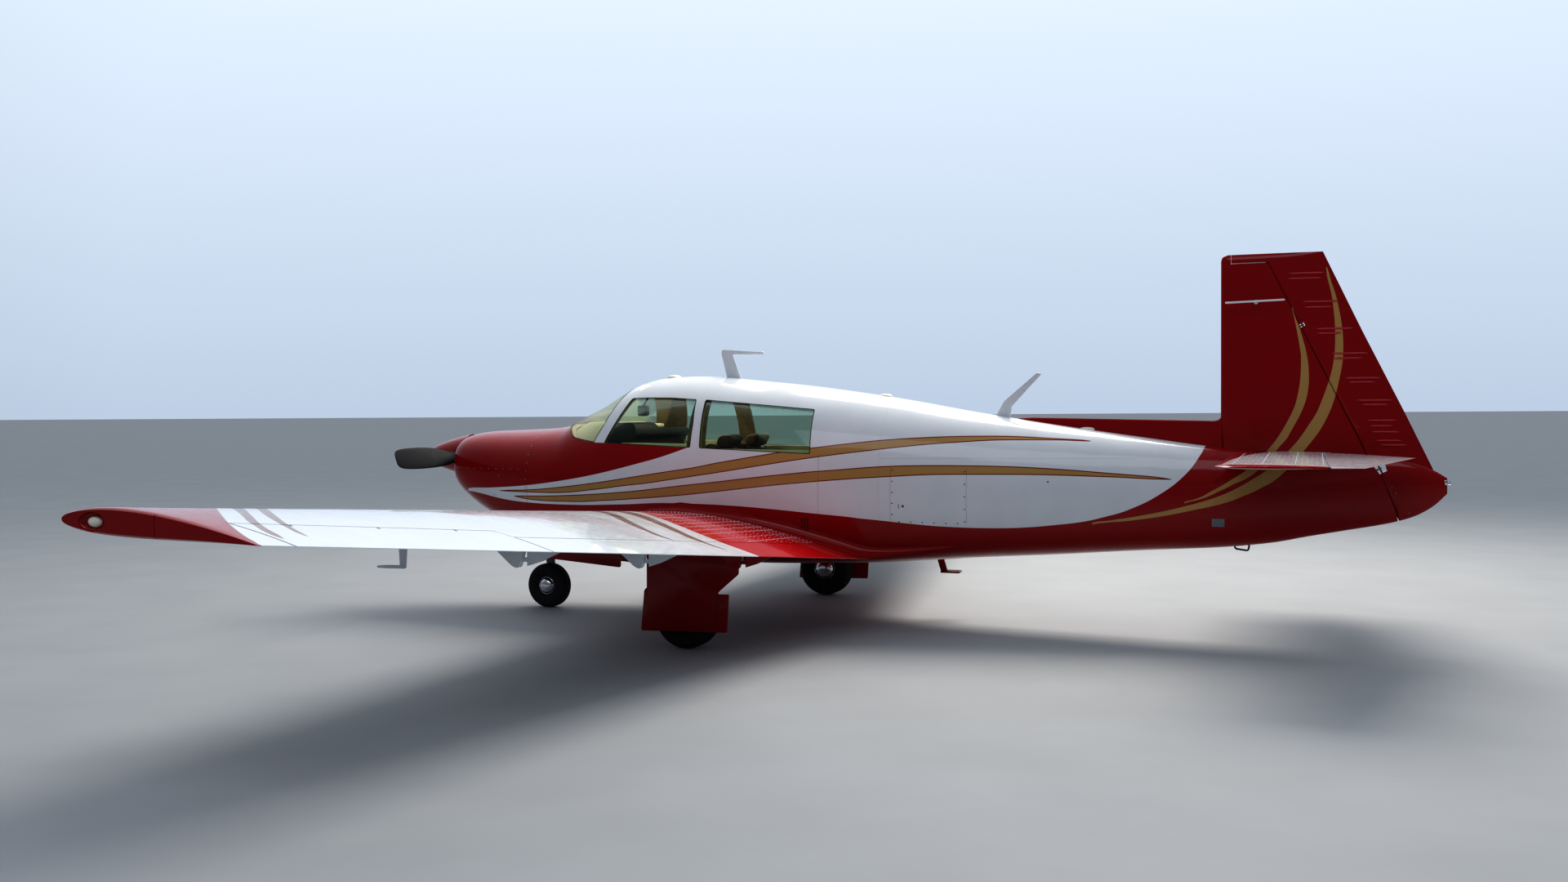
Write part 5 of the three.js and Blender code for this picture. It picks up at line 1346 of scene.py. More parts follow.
def hub_cap(radius, height, base, centre, side):
    """A pressed chrome cap: a bright bead round a dome with a flat crown."""
    dome = ((0.45, 0.93), (0.66, 0.76), (0.82, 0.48), (0.92, 0.2))
    profile = [
        [0, base + height], [radius * 0.22, base + height - 0.5],
        *[[radius * out, base + height * up] for out, up in dome],
        [radius * 0.95, base + 3], [radius * 0.99, base + 4], [radius, base + 2], [radius, base - 2],
        [0, base - 2]]
    return turned([[r, side * h] for r, h in profile], centre, "y", 64)


def rim_disc(rim, width, bore, centre):
    """A wheel's disc with two flanged rims and a blind bore for its stub."""
    w = width * RIM_SHARE
    flange = [[rim - 22, w * 0.5], [rim - 14, w * 0.62], [rim - 8, w * 0.96], [rim - 4, w], [rim, w - 2]]
    outer = [[0, -w + 2], [bore + 8, -w + 6], [bore + 14, -w * 0.55]]
    inner = [[bore + 14, w * 0.55], [bore + 8, w * 0.8], [bore, w * 0.8], [bore, -w * 0.2], [0, -w * 0.2]]
    profile = outer + [[r, -h] for r, h in flange] + flange[::-1] + inner
    return turned(profile, centre, "y", 72)


def bolt_ring(centre, radius, side_y, count, size, side):
    places = []
    for k in range(count):
        a = math.tau * k / count
        places.append((centre + Vector((radius * math.cos(a), side_y, radius * math.sin(a))), (0, side, 0)))
    return studs(places, size, 6, 6)


def build_main_gear():
    """Wheels, legs, hoses and the doors with their ribs and rivets."""
    bodies = ("main_wheel_right", "main_wheel_left")
    width, rim = 158, 92
    tread = tyre(MAIN_AXLE.z, width, rim, MAIN_AXLE, (36, 12, -12, -36))
    pair("main_tyre_tread", tread, tyre_rubber, bodies, "tyre_rubber", ["main_tyre"], 30)
    disc = rim_disc(rim, width, 20.3, MAIN_AXLE)
    pair("main_wheel_disc", disc, wheel_alloy, bodies, "chrome_rim", ["main_rim"])
    cap = hub_cap(88, 42, width * RIM_SHARE, MAIN_AXLE, -1)
    pair("main_hub_cap", cap, chrome_plate, bodies, "chrome_rim")
    pair("main_wheel_bolts", bolt_ring(MAIN_AXLE, 58, 36, 6, 6, 1), bare_alloy, bodies, "chrome_rim")
    x, y, z = MAIN_AXLE
    outline = [
        (x - 32, z - 34), (x + 32, z - 34), (x + 40, 440), (x + 62, well_roof(x + 62) - 0.5),
        (x - 62, well_roof(x - 62) - 0.5), (x - 40, 440)]
    leg = rolled(prism("y", rounded(outline, 16, 4), 1483, 1499), 5, 3, 40)
    axle = rod((x, y - 8, z), (x, 1490, z), 20)
    collar = turned([[20, 1476], [31, 1476], [31, 1483], [20, 1483], [20, 1476]], (x, 0, z), "y", 40)
    brackets = [rolled(block((x - 24, x + 24), (1495, 1511.3), h), 3) for h in ((z + 20, z + 60), (500, 540))]
    path = [(x + 26, 1480, z + 30), (x + 52, 1478, z + 110), (x + 40, 1478, 400), (x + 30, 1480, 560)]
    hose = tube(arc(path, 6), 4.5, 10)
    leg = together(leg, axle, collar, *brackets)
    pair("main_leg", leg, gear_enamel, "airframe", "gear_steel", ["main_gear_leg"])
    pair("brake_hose", hose, seal_rubber, "airframe", "panel_black")
    outline = [
        (2641, 114), (3243, 128), (3259, 371), (3170, 371), (3150, 420), (2690, 400), (2665, 378)]
    back = rolled(prism("y", rounded(outline, 10, 3), 1505, 1509.5), 1.4, 2, 50)
    outline = [
        (2685, 127), (3172, 160), (3174, 330), (3190, 385), (3328, 503), (3332, 612), (2688, 622)]
    front = rolled(prism("y", rounded(outline, 8, 3), 1511.5, 1517), 1.6, 2, 50)
    pair("main_leg_door", front, red_enamel, "airframe", "paint_red", ["main_gear_door"])
    ribs = [rolled(block((2700, 3160), (1509, 1512), (h - 9, h + 9)), 1) for h in DOOR_RIBS]
    pair("main_door_back_plate", together(back, *ribs), red_enamel, "airframe", "paint_red")
    heads = [((station, 1517, h), (0, 1, 0)) for h in DOOR_RIBS for station in range(2710, 3160, 50)]
    pair("main_door_rivets", studs(heads, 4, 2, 8), red_enamel, "airframe", "paint_red")


def build_nose_gear():
    """The steered fork and its wheel, the strut with its braces, and the doors."""
    centre = NOSE_AXLE
    x, _, z = centre
    width, rim = 124, 70
    tread = tyre(centre.z, width, rim, centre, (26, 0, -26))
    piece("nose_tyre_tread", tread, tyre_rubber, "nose_wheel", ["nose_tyre"], 30)
    disc = rim_disc(rim, width, 14.3, centre)
    piece("nose_wheel_disc", disc, wheel_alloy, "nose_wheel", ["nose_rim"])
    cap = hub_cap(67, 35, width * RIM_SHARE, centre, -1)
    piece("nose_hub_cap", cap, chrome_plate, "nose_wheel")
    arm = [(x - 24, z - 26), (x + 24, z - 26), (STEER_X + 42, 402), (STEER_X - 38, 402)]
    fork = together(
        rod((STEER_X, 0, 380), (STEER_X, 0, 700), 26, sides=40),
        rolled(block((STEER_X - 38, STEER_X + 42), (-36, 96), (372, 402)), 7, 3),
        rolled(prism("y", arm, 76, 96), 5, 3),
        rod((x, -8, z), (x, 90, z), 14), rod((x, 94, z), (x, 104, z), 17, sides=6))
    piece("nose_fork_arm", fork, gear_enamel, "nose_steering", ["nose_fork"])
    profile = [
        [26.5, 452], [36, 452], [42, 458], [42, 500], [38, 506], [38, 690], [42, 696], [42, 826],
        [38, 830], [0, 830], [0, 712], [26.5, 712], [26.5, 452]]
    strut = turned(profile, (STEER_X, 0, 0), "z", 48)
    brace = rolled(block((STEER_X + 20, FIREWALL), (-110, 110), (786, 822)), 5)
    drag = [tube([(STEER_X + 10, s * 52, 500), (1219, s * 100, 640)], 10, 14) for s in (-1, 1)]
    cross = tube([(STEER_X + 6, -58, 500), (STEER_X + 6, 58, 500)], 9, 14)
    strut = together(strut, brace, *drag, cross)
    piece("nose_strut_tube", strut, gear_enamel, "airframe", ["nose_strut"])
    outline = rounded([(1182, 398), (1806, 348), (1812, 600), (1180, 600)], 20, 4)
    door = cut(rolled(prism("y", outline, 152, 158), 1.6, 2, 50), fuselage(1000, 2000, -0.5))
    pair("nose_leg_door", door, red_enamel, "airframe", "paint_red", ["nose_gear_door"])


# Cabin

PAD_MARGIN = 14  # millimetres
PAD_VOXEL, PAD_VOXEL_QUICK = 0.0085, 0.009  # metres
PAD_FRAMES = 20
PAD_SWELL = 0.022  # the most that a point may move, in metres
CHANNEL_SPACING, CHANNEL_DEPTH, CHANNEL_WIDTH = 0.085, 0.007, 0.006  # metres


def cushion(outline, side, rounding):
    """A leather seat pad, swelled as cloth with air pressure: its sides pull in and its faces crown.
    The cut pattern is smaller than the pad by the margin that the air gives back."""
    start, end = side
    shape = prism("y", rounded(inset(outline, PAD_MARGIN), rounding, 4), start + PAD_MARGIN, end - PAD_MARGIN)
    shape = rolled(shape, 18, 3, 60)
    bmesh.ops.triangulate(shape, faces=[f for f in shape.faces if len(f.verts) > 4])
    bmesh.ops.transform(shape, matrix=TO_FRAME, verts=shape.verts)
    made = loose(shape)
    remesh = made.modifiers.new("even", "REMESH")
    remesh.mode, remesh.voxel_size = "VOXEL", PAD_VOXEL
    bpy.context.view_layer.update()
    even = worked(made)
    discard(made)
    made = loose(even)
    rest = [v.co.copy() for v in made.data.vertices]
    cloth = made.modifiers.new("swell", "CLOTH")
    settings = cloth.settings
    settings.quality, settings.mass = 6, 0.3
    settings.tension_stiffness = settings.compression_stiffness = 12
    settings.bending_stiffness = 2
    settings.use_pressure, settings.uniform_pressure_force = True, 4
    settings.effector_weights.gravity = 0
    cloth.point_cache.frame_start, cloth.point_cache.frame_end = 1, PAD_FRAMES
    for step in range(1, PAD_FRAMES + 1):
        bpy.context.scene.frame_set(step)
    swelled = worked(made)
    discard(made)
    bpy.context.scene.frame_set(1)
    for v, before in zip(swelled.verts, rest):
        move = v.co - before
        if move.length > PAD_SWELL:
            v.co = before + move.normalized() * PAD_SWELL
    return swelled


def channels(shape, along):
    """Sewn channels across a pad: its upper and front faces sink along lines a spacing apart."""
    shape.normal_update()
    moves = []
    for v in shape.verts:
        distance = v.co[along] + 10
        near = abs((distance / CHANNEL_SPACING) % 1 - 0.5) * CHANNEL_SPACING
        if v.normal.z > 0.3 or v.normal.x < -0.3:
            moves.append((v, -v.normal * CHANNEL_DEPTH * math.exp(-(near / CHANNEL_WIDTH) ** 2)))
    for v, move in moves:
        v.co += move
    return shape


def pad(name, shape, nodes=()):
    """A padded piece in seat leather, riding on the airframe."""
    mesh = bpy.data.meshes.new(name)
    shape.to_mesh(mesh)
    shape.free()
    mesh.materials.append(seat_leather)
    mesh.shade_smooth()
    made = bpy.data.objects.new(name, mesh)
    bpy.context.scene.collection.objects.link(made)
    smooth = made.modifiers.new("soft", "SUBSURF")
    smooth.levels = smooth.render_levels = 1
    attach(made, "airframe")
    if nodes:
        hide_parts(*nodes)


def build_seats():
    """Cushions on the front seats' frames and on the rear seat's box."""
    front_pad = [(2120, 760), (2600, 735), (2610, 860), (2120, 880)]
    front_back = [(2560, 740), (2650, 740), (2760, 1320), (2640, 1335), (2560, 900)]
    head_rest = [(2678, 1262), (2786, 1240), (2828, 1330), (2812, 1369), (2730, 1369), (2690, 1340)]
    rear_pad = [(2980, 640), (3440, 640), (3440, 850), (2980, 870)]
    rear_back = [(3400, 700), (3500, 700), (3600, 1240), (3490, 1255), (3400, 860)]
    aft, up = 0, 2
    for word, outline, side, along, nodes in (
            ("front_seat_pad", front_pad, (45, 495), aft, ["front_seat"]),
            ("front_seat_back", front_back, (53, 487), up, []),
            ("front_head_rest", head_rest, (130, 410), None, [])):
        shape = cushion(outline, side, 40)
        if along is not None:
            shape = channels(shape, along)
        other = mirrored(shape)
        for name, one in (("right", shape), ("left", other)):
            pad(f"{word}_{name}", one, [f"{node_name}_{name}" for node_name in nodes])
    pad("rear_seat_pad", channels(cushion(rear_pad, (-490, 490), 40), aft), ["rear_seat"])
    pad("rear_seat_back", channels(cushion(rear_back, (-478, 478), 40), up))
    frames = together(
        rolled(block((2190, 2560), (85, 455), (650, 752)), 12, 3),
        *[tube([(x, y, 500), (x, y, 660)], 13, 16) for x in (2210, 2540) for y in (105, 435)],
        *[rolled(block((2150, 2640), (y - 14, y + 14), (500, 514)), 3) for y in (105, 435)])
    pair("front_seat_frame", frames, gear_enamel, "airframe", "gear_steel")
    box = rolled(block((2990, 3480), (-470, 470), (500, 642)), 10, 3)
    piece("rear_seat_box", box, cabin_vinyl, "airframe")


DIALS = [(y, z) for z in (1255, 1160) for y in (-395, -305, -215)] + [(330, 1210), (420, 1210)]


def build_panel():
    """The instrument panel under its shield, the dash's cover, dials, radios, compass and yokes."""
    room = fuselage(1350, 2200, CABIN_WALL + 12, CABIN_FLOOR + 0.5)
    hood = [
        (1800, 1290), (1985, 1290), (1985, 1010), (2040, 1010), (2060, 1325), (2098, 1352),
        (2092, 1400), (2064, 1438), (2020, 1448), (1870, 1446), (1818, 1420), (1800, 1360)]
    panel = common(prism("y", rounded(hood, 16, 4), -600, 600), room.copy())
    low_part = block((1700, 2200), (-70, 640), (1406, 1500))
    panel = cut(panel, rolled(low_part, 18, 3, 60, lambda p: p.z < 1420 and p.y < 0))
    cover = [
        (1390, 1290), (1402, 1365), (1450, 1430), (1530, 1448), (1780, 1446), (1799, 1420), (1799, 1290)]
    cover = common(prism("y", rounded(cover, 30, 5), -600, 600), room)
    shelf = rolled(block((1852, 2016), (-62, 190), (1404, 1436)), 13, 4)
    piece("dash_cover", together(cover, shelf), ledge_vinyl, "airframe", (), 50)
    pedestal = rolled(block((1985, 2035), (-70, 70), (500, 1030)), 10, 3)
    panel = together(panel, pedestal)
    piece("panel_and_shield", panel, panel_crackle, "airframe", ["instrument_panel"], 40)
    rings, faces = [], []
    bezel = [[35, -2], [43, -2], [43, 4], [40, 6], [36, 6], [35, 3], [35, -2]]
    for y, z in DIALS:
        lean = 2040 + (z - 1010) * 20 / 315
        rings.append(turned(bezel, (lean, y, z), "x", 40))
        faces.append(rod((lean - 1, y, z), (lean + 1.5, y, z), 35.5, sides=40))
    piece("dial_bezels", together(*rings), panel_crackle, "airframe")
    piece("dial_faces", together(*faces), dial_face, "airframe")
    radios = [rolled(block((2036, 2052), (-75, 75), (z, z + 42)), 3) for z in (1070, 1120, 1170, 1220)]
    piece("radio_stack", together(*radios), seal_rubber, "airframe")
    case = rolled(block((1892, 1966), (-36, 36), (1492, 1574)), 16, 4)
    stem = tube([(1930, 0, 1570), (1975, 0, 1640), (2010, 0, section(2010)[1] - CABIN_WALL + 2)], 7, 12)
    piece("compass_case", together(case, stem), panel_crackle, "airframe")
    window = rolled(block((1900, 1958), (-37.5, 37.5), (1508, 1556)), 6, 2)
    piece("compass_window", window, firewall_stainless, "airframe")
    yokes = []
    for y in (-255, 255):
        horn = [(2185, y + out, z) for out, z in ((-118, 1262), (-96, 1172), (96, 1172), (118, 1262))]
        yokes += [tube(arc(horn, 6, 30), 11, 16), tube([(2045, y, 1180), (2185, y, 1180)], 10, 16)]
    piece("control_wheels", together(*yokes), seal_rubber, "airframe")


def dial_material():
    """Printed instrument faces under glass: matt black, broken up by fine pale marks."""
    made, tree = blank("dial_face")
    place, x, side, z = where(tree)
    speck = node(tree, "ShaderNodeTexVoronoi", {"Vector": place, "Scale": 110.0}, feature="DISTANCE_TO_EDGE")
    mark = node(tree, "ShaderNodeMapRange", {
        "Value": speck.outputs[0], "From Min": 0.02, "From Max": 0.05, "To Min": 1.0, "To Max": 0.0})
    colour = node(tree, "ShaderNodeMix", {
        0: mark.outputs[0], 6: linear("#101113"), 7: linear("#c9ccca")}, data_type="RGBA")
    shader = node(tree, "ShaderNodeBsdfPrincipled", {
        "Base Color": colour.outputs[2], "Roughness": 0.35, "Coat Weight": 0.8})
    node(tree, "ShaderNodeOutputMaterial", {"Surface": shader.outputs[0]})
    return made


dial_face = dial_material()


def build_trim():
    """Ledges under the windows and linings on the window posts."""
    def band(outline, deep, side):
        liner = cut(fuselage(1850, 3500, CABIN_WALL + 0.5), fuselage(1840, 3510, CABIN_WALL + deep))
        return common(liner, prism("y", rounded(outline, 8, 3), *SIDES[side]))
    front = [(1995, 1258), (2546, 1258), (2546, 1294), (1995, 1302)]
    rear = [(2640, 1214), (3456, 1204), (3456, 1252), (2640, 1262)]
    door_post = [(1862, 1292), (2013, 1289), (2085, 1419), (2138, 1622), (2060, 1640), (1905, 1400)]
    rear_post = [(2520, 1262), (2662, 1255), (2640, 1628), (2524, 1634)]
    # The post linings' darker brown is painted shade on the tan trim.
    for side, body in (("right", "cabin_door"), ("left", "airframe")):
        piece(f"front_ledge_{side}", band(front, 45, side), ledge_vinyl, body)
        piece(f"rear_ledge_{side}", band(rear, 45, side), ledge_vinyl, "airframe")
        piece(f"rear_post_lining_{side}", band(rear_post, 12, side), shaded_post_vinyl, "airframe")
    piece("door_post_lining", band(door_post, 10, "right"), shaded_post_vinyl, "cabin_door")


# Fittings

def build_fittings():
    """Antennas, pitot tube, boarding step, tie-down loop and the domes on the roof."""
    def vane(outline, y_half, width=4):
        return rolled(prism("y", rounded(outline, 12, 4), -y_half, y_half), width, 3, 40)
    outline = [
        (2640, 1700), (2760, 1700), (2668, 1948), (2914, 1940), (2914, 1960), (2590, 1984), (2576, 1966)]
    roof = cut(vane(outline, 6), fuselage(2200, 3300, -0.5))
    piece("roof_antenna_mast", roof, white_enamel, "airframe", ["roof_antenna"])
    outline = [(4620, 1440), (4742, 1440), (4754, 1548), (4962, 1772), (4932, 1782), (4702, 1586)]
    swept = cut(vane(outline, 7), fuselage(4200, 5400, -0.5))
    piece("tail_antenna_blade", swept, white_enamel, "airframe", ["tail_antenna"])
    path = ((6171, 2212), (6180, 2212.4), (6530, 2221.8), (6538, 2222))
    rods = [tube([(x, y, z) for x, z in path], [4, 7, 7, 4], 14) for y in (-100, 100)]
    boss = [turned([[0, 2], [14, 2], [14, 10], [9, 16], [9, 62], [0, 62]], (6360, 36, 2216), "y", 28)]
    boss.append(mirrored(boss[0]))
    rods = together(*rods, rod((6360, -100, 2216), (6360, 100, 2216), 9), *boss)
    piece("fin_antenna_rods", rods, white_enamel, "airframe", ["fin_antenna"])
    mast = rolled(prism("y", [(2395, 930), (2452, 930), (2440, 752), (2405, 752)], -3755, -3745), 3, 3)
    path = ((2430, 758), (2330, 756.4), (2276, 755.1), (2268, 755))
    probe = tube([(x, -3750, z) for x, z in path], [9, 9, 7, 5], 20)
    clear = mirrored(loft([wing_ring(y, 1.012) for y in (3600, 3900)]))
    pitot = cut(together(mast, probe), clear)
    piece("pitot_probe", pitot, white_enamel, "airframe", ["pitot_tube"])
    tread = rolled(block((4146, 4290), (385, 475), (330, 346)), 5, 3)
    post = rolled(prism("y", [(4150, 335), (4200, 335), (4116, 620), (4062, 620)], 395, 409), 3, 2)
    step = cut(together(tread, post), fuselage(3900, 4600, -0.5))
    piece("boarding_step_arm", step, red_enamel, "airframe", ["boarding_step"])
    grit = rolled(block((4156, 4282), (392, 468), (346, 347.6)), 0.6, 1)
    piece("step_tread", grit, seal_rubber, "airframe")
    wire = arc([(6222, 0, 668), (6231, 0, 606), (6313, 0, 595), (6326, 0, 668)], 6, 14)
    loop = cut(tube(wire, 6, 12), fuselage(5900, 6700, -0.5))
    piece("tail_tie_down", loop, screw_steel, "airframe", ["tail_skid"])
    for name, x, long, wide, height in (
            ("beacon_dome", 2190, 56, 56, 22), ("radio_puck", 3850, 48, 48, 16),
            ("small_puck", 5270, 56, 30, 16)):
        top = section(x)[1]
        crown = [[r, height * share] for r, share in ((0, 1), (0.5, 0.92), (0.8, 0.66), (0.95, 0.3))]
        dome = turned(crown + [[1, 0], [1, -10], [0, -10]], (0, 0, 0), "z", 48)
        bmesh.ops.scale(dome, vec=(long, wide, 1), verts=dome.verts)
        bmesh.ops.translate(dome, vec=(x, 0, top - 1), verts=dome.verts)
        piece(name, dome, opal_plastic, "airframe")


def on_skin(outline, high=1.0, rounding=8):
    """A thin plate on the fuselage's left side, bent to it."""
    xs = [x for x, z in outline]
    skin = cut(fuselage(min(xs) - 20, max(xs) + 20, -high, step=30),
               fuselage(min(xs) - 30, max(xs) + 30, 2, step=30))
    return common(skin, prism("y", rounded(outline, rounding, 4), -700, -30))


def build_side_panels():
    """The access panel, data plate, latch, vent slots, screws and static ports on the sides."""
    panel = on_skin([(4020, 745), (4532, 742), (4532, 1142), (4020, 1142)], 0.9)
    piece("access_panel", panel, fuselage_enamel, "airframe")
    plate = on_skin([(6094, 760), (6173, 758), (6173, 812), (6094, 812)], 1.2, 4)
    piece("data_plate", plate, bare_alloy, "airframe")
    latch = studs([on_side(4106, 877, -1)], 14, 3, 24)
    lines = [tube([on_side(4078, z, -1)[0] for z in (860, 877, 893)], 2.2, 8)]
    heights = (700, 720, 745, 770, 788)
    lines += [tube([on_side(x, z, -1)[0] for z in heights], 3.4, 8) for x in (3404, 3425, 3446)]
    piece("side_latch", latch, bare_alloy, "airframe")
    piece("side_slots", together(*lines), seal_rubber, "airframe")
    around = [math.tau * k / 10 for k in range(10)]
    screws = [on_side(6943 + 57 * math.cos(a), 825 + 50 * math.sin(a), -1) for a in around]
    screws += [on_side(x, z, -1) for z, row in (
        (1036, range(6517, 6660, 34)), (948, range(6517, 6710, 38)), (820, (6337, 6483)),
        (1060, (6127, 6181))) for x in row]
    piece("tail_screws", studs(screws, 4.2, 1.6, 8), screw_steel, "airframe")
    bolts = [on_side(x, z, -1) for x, z in ((7175, 1023), (7196, 987), (7277, 863))]
    piece("rudder_bolts", studs(bolts, 6, 3, 12), bare_alloy, "rudder")
    ports = studs([on_side(5061, 1047, s) for s in (-1, 1)], 8, 2.4, 24)
    piece("static_port", ports, bare_alloy, "airframe")


# Rivets, screws and panels

def on_side(x, z, side):
    """A point on the fuselage's side and the way out of it."""
    y = side_of(x, z)
    up = (side_of(x, z + 6) - side_of(x, z - 6)) / 12
    aft = (side_of(x + 10, z) - side_of(x - 10, z)) / 20
    return Vector((x, side * y, z)), Vector((-aft, side, -up)).normalized()


def on_wing(x, y, side=1):
    z = wing_z(x, abs(y), side)
    lean = (wing_z(x + 5, abs(y), side) - wing_z(x - 5, abs(y), side)) / 10
    return Vector((x, y, z)), Vector((-lean * side, 0, side)).normalized()


def on_tailplane(x, y, side=1):
    c = tail_trailing(y) - TAIL_LE
    s = (x - TAIL_LE) / c
    return Vector((x, y, TAIL_Z + side * foil(s, 1, tail_ratio(y), 0) * c)), Vector((0, 0, side))


def build_fasteners():
    """Screws round the cowl and the access panel, and the rows of rivets that show in the light. Rivet heads
    drawn white on red paint are painted highlights.
    """
    screws = []
    for side in (-1, 1):
        for x in range(640, 1200, 70):
            screws.append(on_side(x, 1100, side))
        for z in range(900, 1340, 62):
            screws.append(on_side(1204, z, side))
        screws += [on_side(950, 1050, side), on_side(900, 905, side)]
    piece("cowl_fasteners", studs(screws, 6, 2.4, 12), bare_alloy, "airframe")
    access = [on_side(4033, z, -1) for z in (820, 896, 970, 1046, 1122)]
    access += [on_side(x, 771 - 0.02 * (x - 4080), -1) for x in range(4080, 4500, 78)]
    access += [on_side(4518, z, -1) for z in (776, 860, 944, 1028, 1112)]
    piece("access_panel_screws", studs(access, 6.5, 3, 10), screw_steel, "airframe")
    rows = []
    for y in (300, 560, 820, 1080, 1340, 1600):
        for x in range(6290, 6790, 26):
            rows += [on_tailplane(x, y, s) for s in (-1, 1)]
    for x in (6300, 6452, 6620, 6764):
        for y in range(160, 1680, 30):
            rows += [on_tailplane(x, y, s) for s in (-1, 1)]
    # Where these heads lie in the red leading edge, their white is a painted highlight; elsewhere it is the
    # tailplane's own white.
    pair("stabilizer_rivets", studs(rows, 4.2, 1.8, 6), white_enamel, "airframe", "paint_white")
    rows = []
    for y in (700, 800, 980, 1200, 1420, 1640):
        for x in range(2500, 3640, 28):
            if x < hinge_x(FLAP, max(y, 640)) - 20:
                rows.append(on_wing(x, y))
    for x in (2460, 2900, 3320):
        for y in range(650, 1900, 28):
            rows.append(on_wing(x, y))
    # Where these heads lie in the red root, their white is a painted highlight; on the white wing it is the
    # paint's own colour.
    pair("wing_root_rivets", studs(rows, 4.0, 1.8, 6), white_enamel, "airframe", "paint_white")
    # These heads all sit in the red paint of the root; their white is a painted highlight, the glint of light
    # on each head.
    places = [(x, y) for y in (660, 740, 860, 1080, 1280, 1500) for x in range(2500, 3600, 28)]
    places += [(x, y) for x in (2700, 2800, 2980, 3060, 3140, 3220, 3400) for y in range(650, 1860, 28)]
    rows = [on_wing(x, y) for x, y in places if y < between(ROOT_RED, x) - 20 and x < hinge_x(FLAP, y) - 20]
    pair("root_walk_rivets", studs(rows, 5.5, 3.2, 6), white_enamel, "airframe", "paint_red")
    rows = []
    for side in (-1, 1):
        for x in (1232, 3512, 3952, 5628, 5652, 6132):
            bottom, top = section(x)[:2]
            z = bottom + 60
            while z < min(top - 30, 1180 if x < 3900 else top - 30):
                rows.append(on_side(x, z, side))
                z += 34
        for x in range(3960, 5620, 34):
            rows.append(on_side(x, 1186, side))
    piece("fuselage_rivets", studs(rows, 3.2, 1.4, 6), fuselage_enamel, "airframe")
    rows = []
    axis = [(RUDDER_LOW.z, RUDDER_LOW.x), (RUDDER_HIGH.z, RUDDER_HIGH.x)]
    for z in range(1500, 2440, 34):
        for x in (6200, 6420):
            if x < between(axis, z) - 60:
                for side in (-1, 1):
                    rows.append((Vector((x, side * fin_half(x, z), z)), (0, side, 0)))
    piece("fin_rivets", studs(rows, 3.2, 1.6, 6), fin_enamel, "airframe")


# Stage, light and camera

def build_stage():
    """A floor of pale concrete, drifting between two greys."""
    square = bmesh.new()
    bmesh.ops.create_grid(square, x_segments=1, y_segments=1, size=1)
    bmesh.ops.scale(square, vec=(400, 400, 1), verts=square.verts)
    mesh = bpy.data.meshes.new("studio_floor")
    square.to_mesh(mesh)
    square.free()
    made, tree = blank("studio_floor")
    place, x, side, z = where(tree)
    drift = node(tree, "ShaderNodeTexNoise", {"Vector": place, "Scale": 1.3, "Detail": 6.0})
    colour = node(tree, "ShaderNodeMix", {
        0: drift.outputs[0], 6: linear("#939597"), 7: linear("#a0a2a4")}, data_type="RGBA")
    shader = node(tree, "ShaderNodeBsdfPrincipled", {"Base Color": colour.outputs[2], "Roughness": 0.75})
    node(tree, "ShaderNodeOutputMaterial", {"Surface": shader.outputs[0]})
    mesh.materials.append(made)
    floor = bpy.data.objects.new("studio_floor", mesh)
    bpy.context.scene.collection.objects.link(floor)


def lamp(name, place, aim, size, power, colour="#ffffff"):
    data = bpy.data.lights.new(name, "AREA")
    data.shape, data.size, data.size_y = "RECTANGLE", size[0], size[1]
    data.energy, data.color = power, linear(colour)[:3]
    made = bpy.data.objects.new(name, data)
    made.location = place
    made.rotation_euler = (Vector(aim) - Vector(place)).to_track_quat("-Z", "Y").to_euler()
    made.visible_camera = False
    bpy.context.scene.collection.objects.link(made)


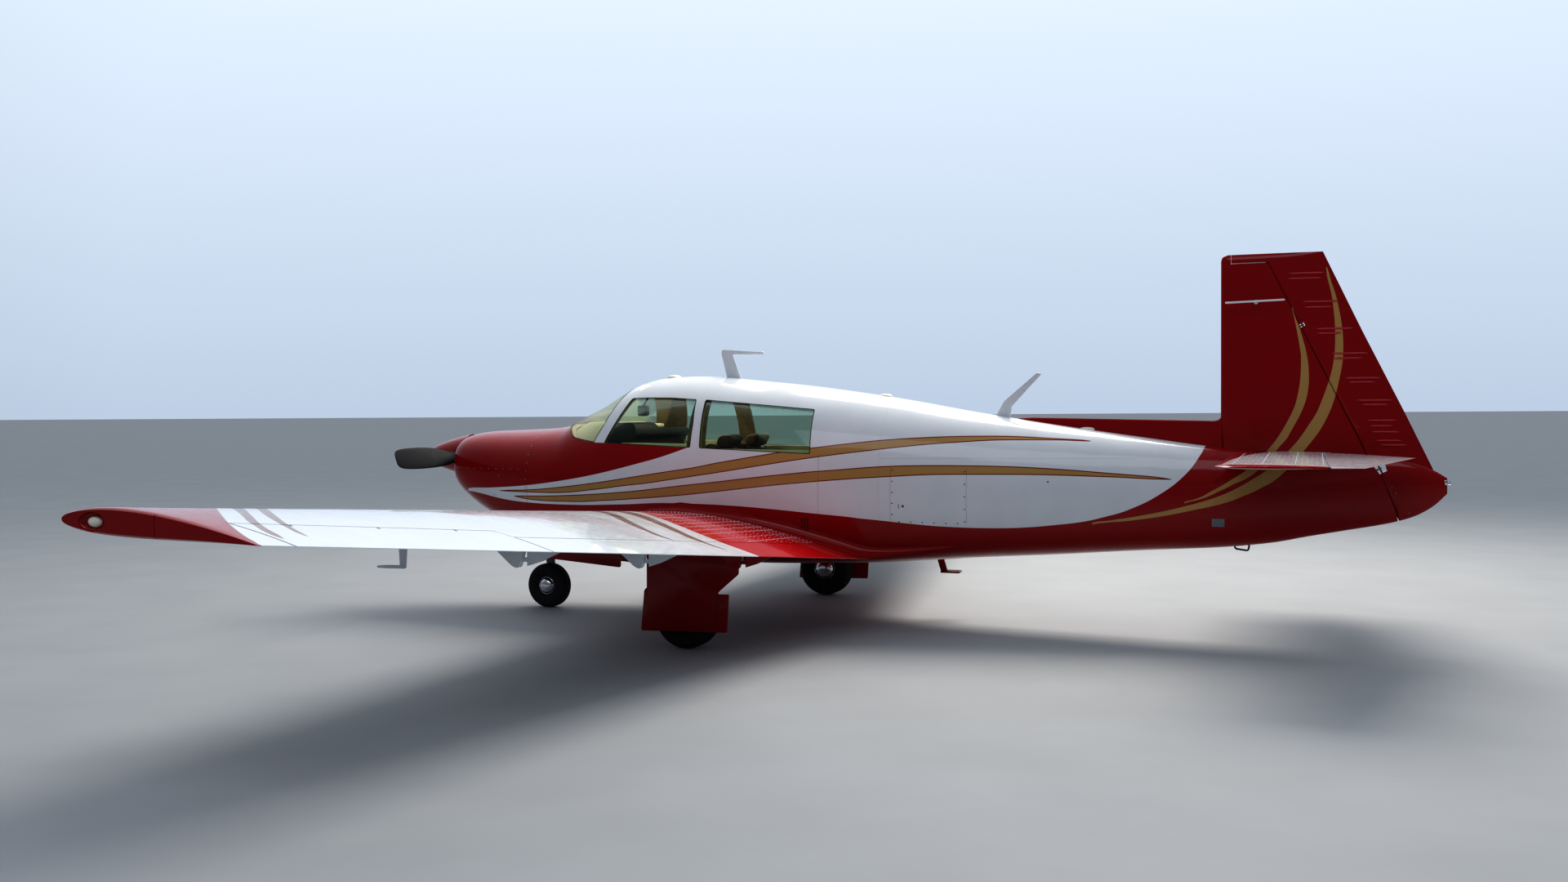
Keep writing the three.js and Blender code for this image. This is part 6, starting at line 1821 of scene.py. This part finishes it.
def build_light():
    """A soft sky, palest high up and brightest behind the aircraft, with a big soft box above the
    far wing, a weak one in front, and one in the cabin for the light that falls through the glass."""
    world = bpy.data.worlds.new("studio")
    world.use_nodes = True
    tree = world.node_tree
    tree.nodes.clear()
    place = node(tree, "ShaderNodeTexCoord").outputs["Generated"]
    way = node(tree, "ShaderNodeSeparateXYZ", {0: place}).outputs
    share = node(tree, "ShaderNodeMapRange", {"Value": way[2], "From Min": 0.0, "From Max": 0.75})
    colour = node(tree, "ShaderNodeMix", {
        0: share.outputs[0], 6: linear("#98a3b1"), 7: linear("#d6dde5")}, data_type="RGBA")
    back = node(tree, "ShaderNodeMapRange", {
        "Value": way[1], "From Min": -0.7, "From Max": 0.7, "To Min": 0.3, "To Max": 1.3})
    light = node(tree, "ShaderNodeBackground", {"Color": colour.outputs[2], "Strength": back.outputs[0]})
    node(tree, "ShaderNodeOutputWorld", {"Surface": light.outputs[0]})
    bpy.context.scene.world = world
    bpy.context.scene.view_settings.view_transform = "Standard"
    bpy.context.scene.view_settings.look = "High Contrast"
    lamp("overhead", (1.0, 5.5, 9.0), (0, -0.5, 0.6), (7, 5), 960, "#fff6ea")
    lamp("cabin_fill", (-1.25, 0, 1.72), (-1.25, 0, 0.5), (1.0, 0.5), 7.0, "#fff2dc")
    lamp("front_fill", (2.0, -9.0, 9.0), (0, 0, 0.9), (10, 4), 170, "#eef4ff")


# The photo's camera, solved from the aircraft's known size.
CAMERA_PLACE = (2.959, -9.755, 1.546)
CAMERA_YAW, CAMERA_PITCH, CAMERA_ROLL = -20.50, -1.326, 0.330  # degrees
CAMERA_LENS = 32.59


def build_camera():
    data = bpy.data.cameras.new("camera")
    data.lens, data.sensor_width = CAMERA_LENS, 36.0
    data.clip_end = 300
    yaw, pitch, roll = (math.radians(a) for a in (CAMERA_YAW, CAMERA_PITCH, CAMERA_ROLL))
    forward = Vector((math.sin(yaw) * math.cos(pitch), math.cos(yaw) * math.cos(pitch), math.sin(pitch)))
    right = Vector((math.cos(yaw), -math.sin(yaw), 0))
    down = forward.cross(right)
    across = right * math.cos(roll) + down * math.sin(roll)
    under = down * math.cos(roll) - right * math.sin(roll)
    made = bpy.data.objects.new("camera", data)
    turn = Matrix((across, -under, -forward)).transposed().to_4x4()
    made.matrix_world = Matrix.Translation(CAMERA_PLACE) @ turn
    bpy.context.scene.collection.objects.link(made)
    bpy.context.scene.camera = made


for build in (
        build_camera, build_light, build_stage, build_cowl, build_cabin, build_panes, build_tail_cone,
        build_wings, build_root_fillets, build_propeller, build_engine, build_tail, build_main_gear,
        build_nose_gear, build_seats, build_panel, build_trim, build_fittings, build_side_panels,
        build_fasteners):
    build()
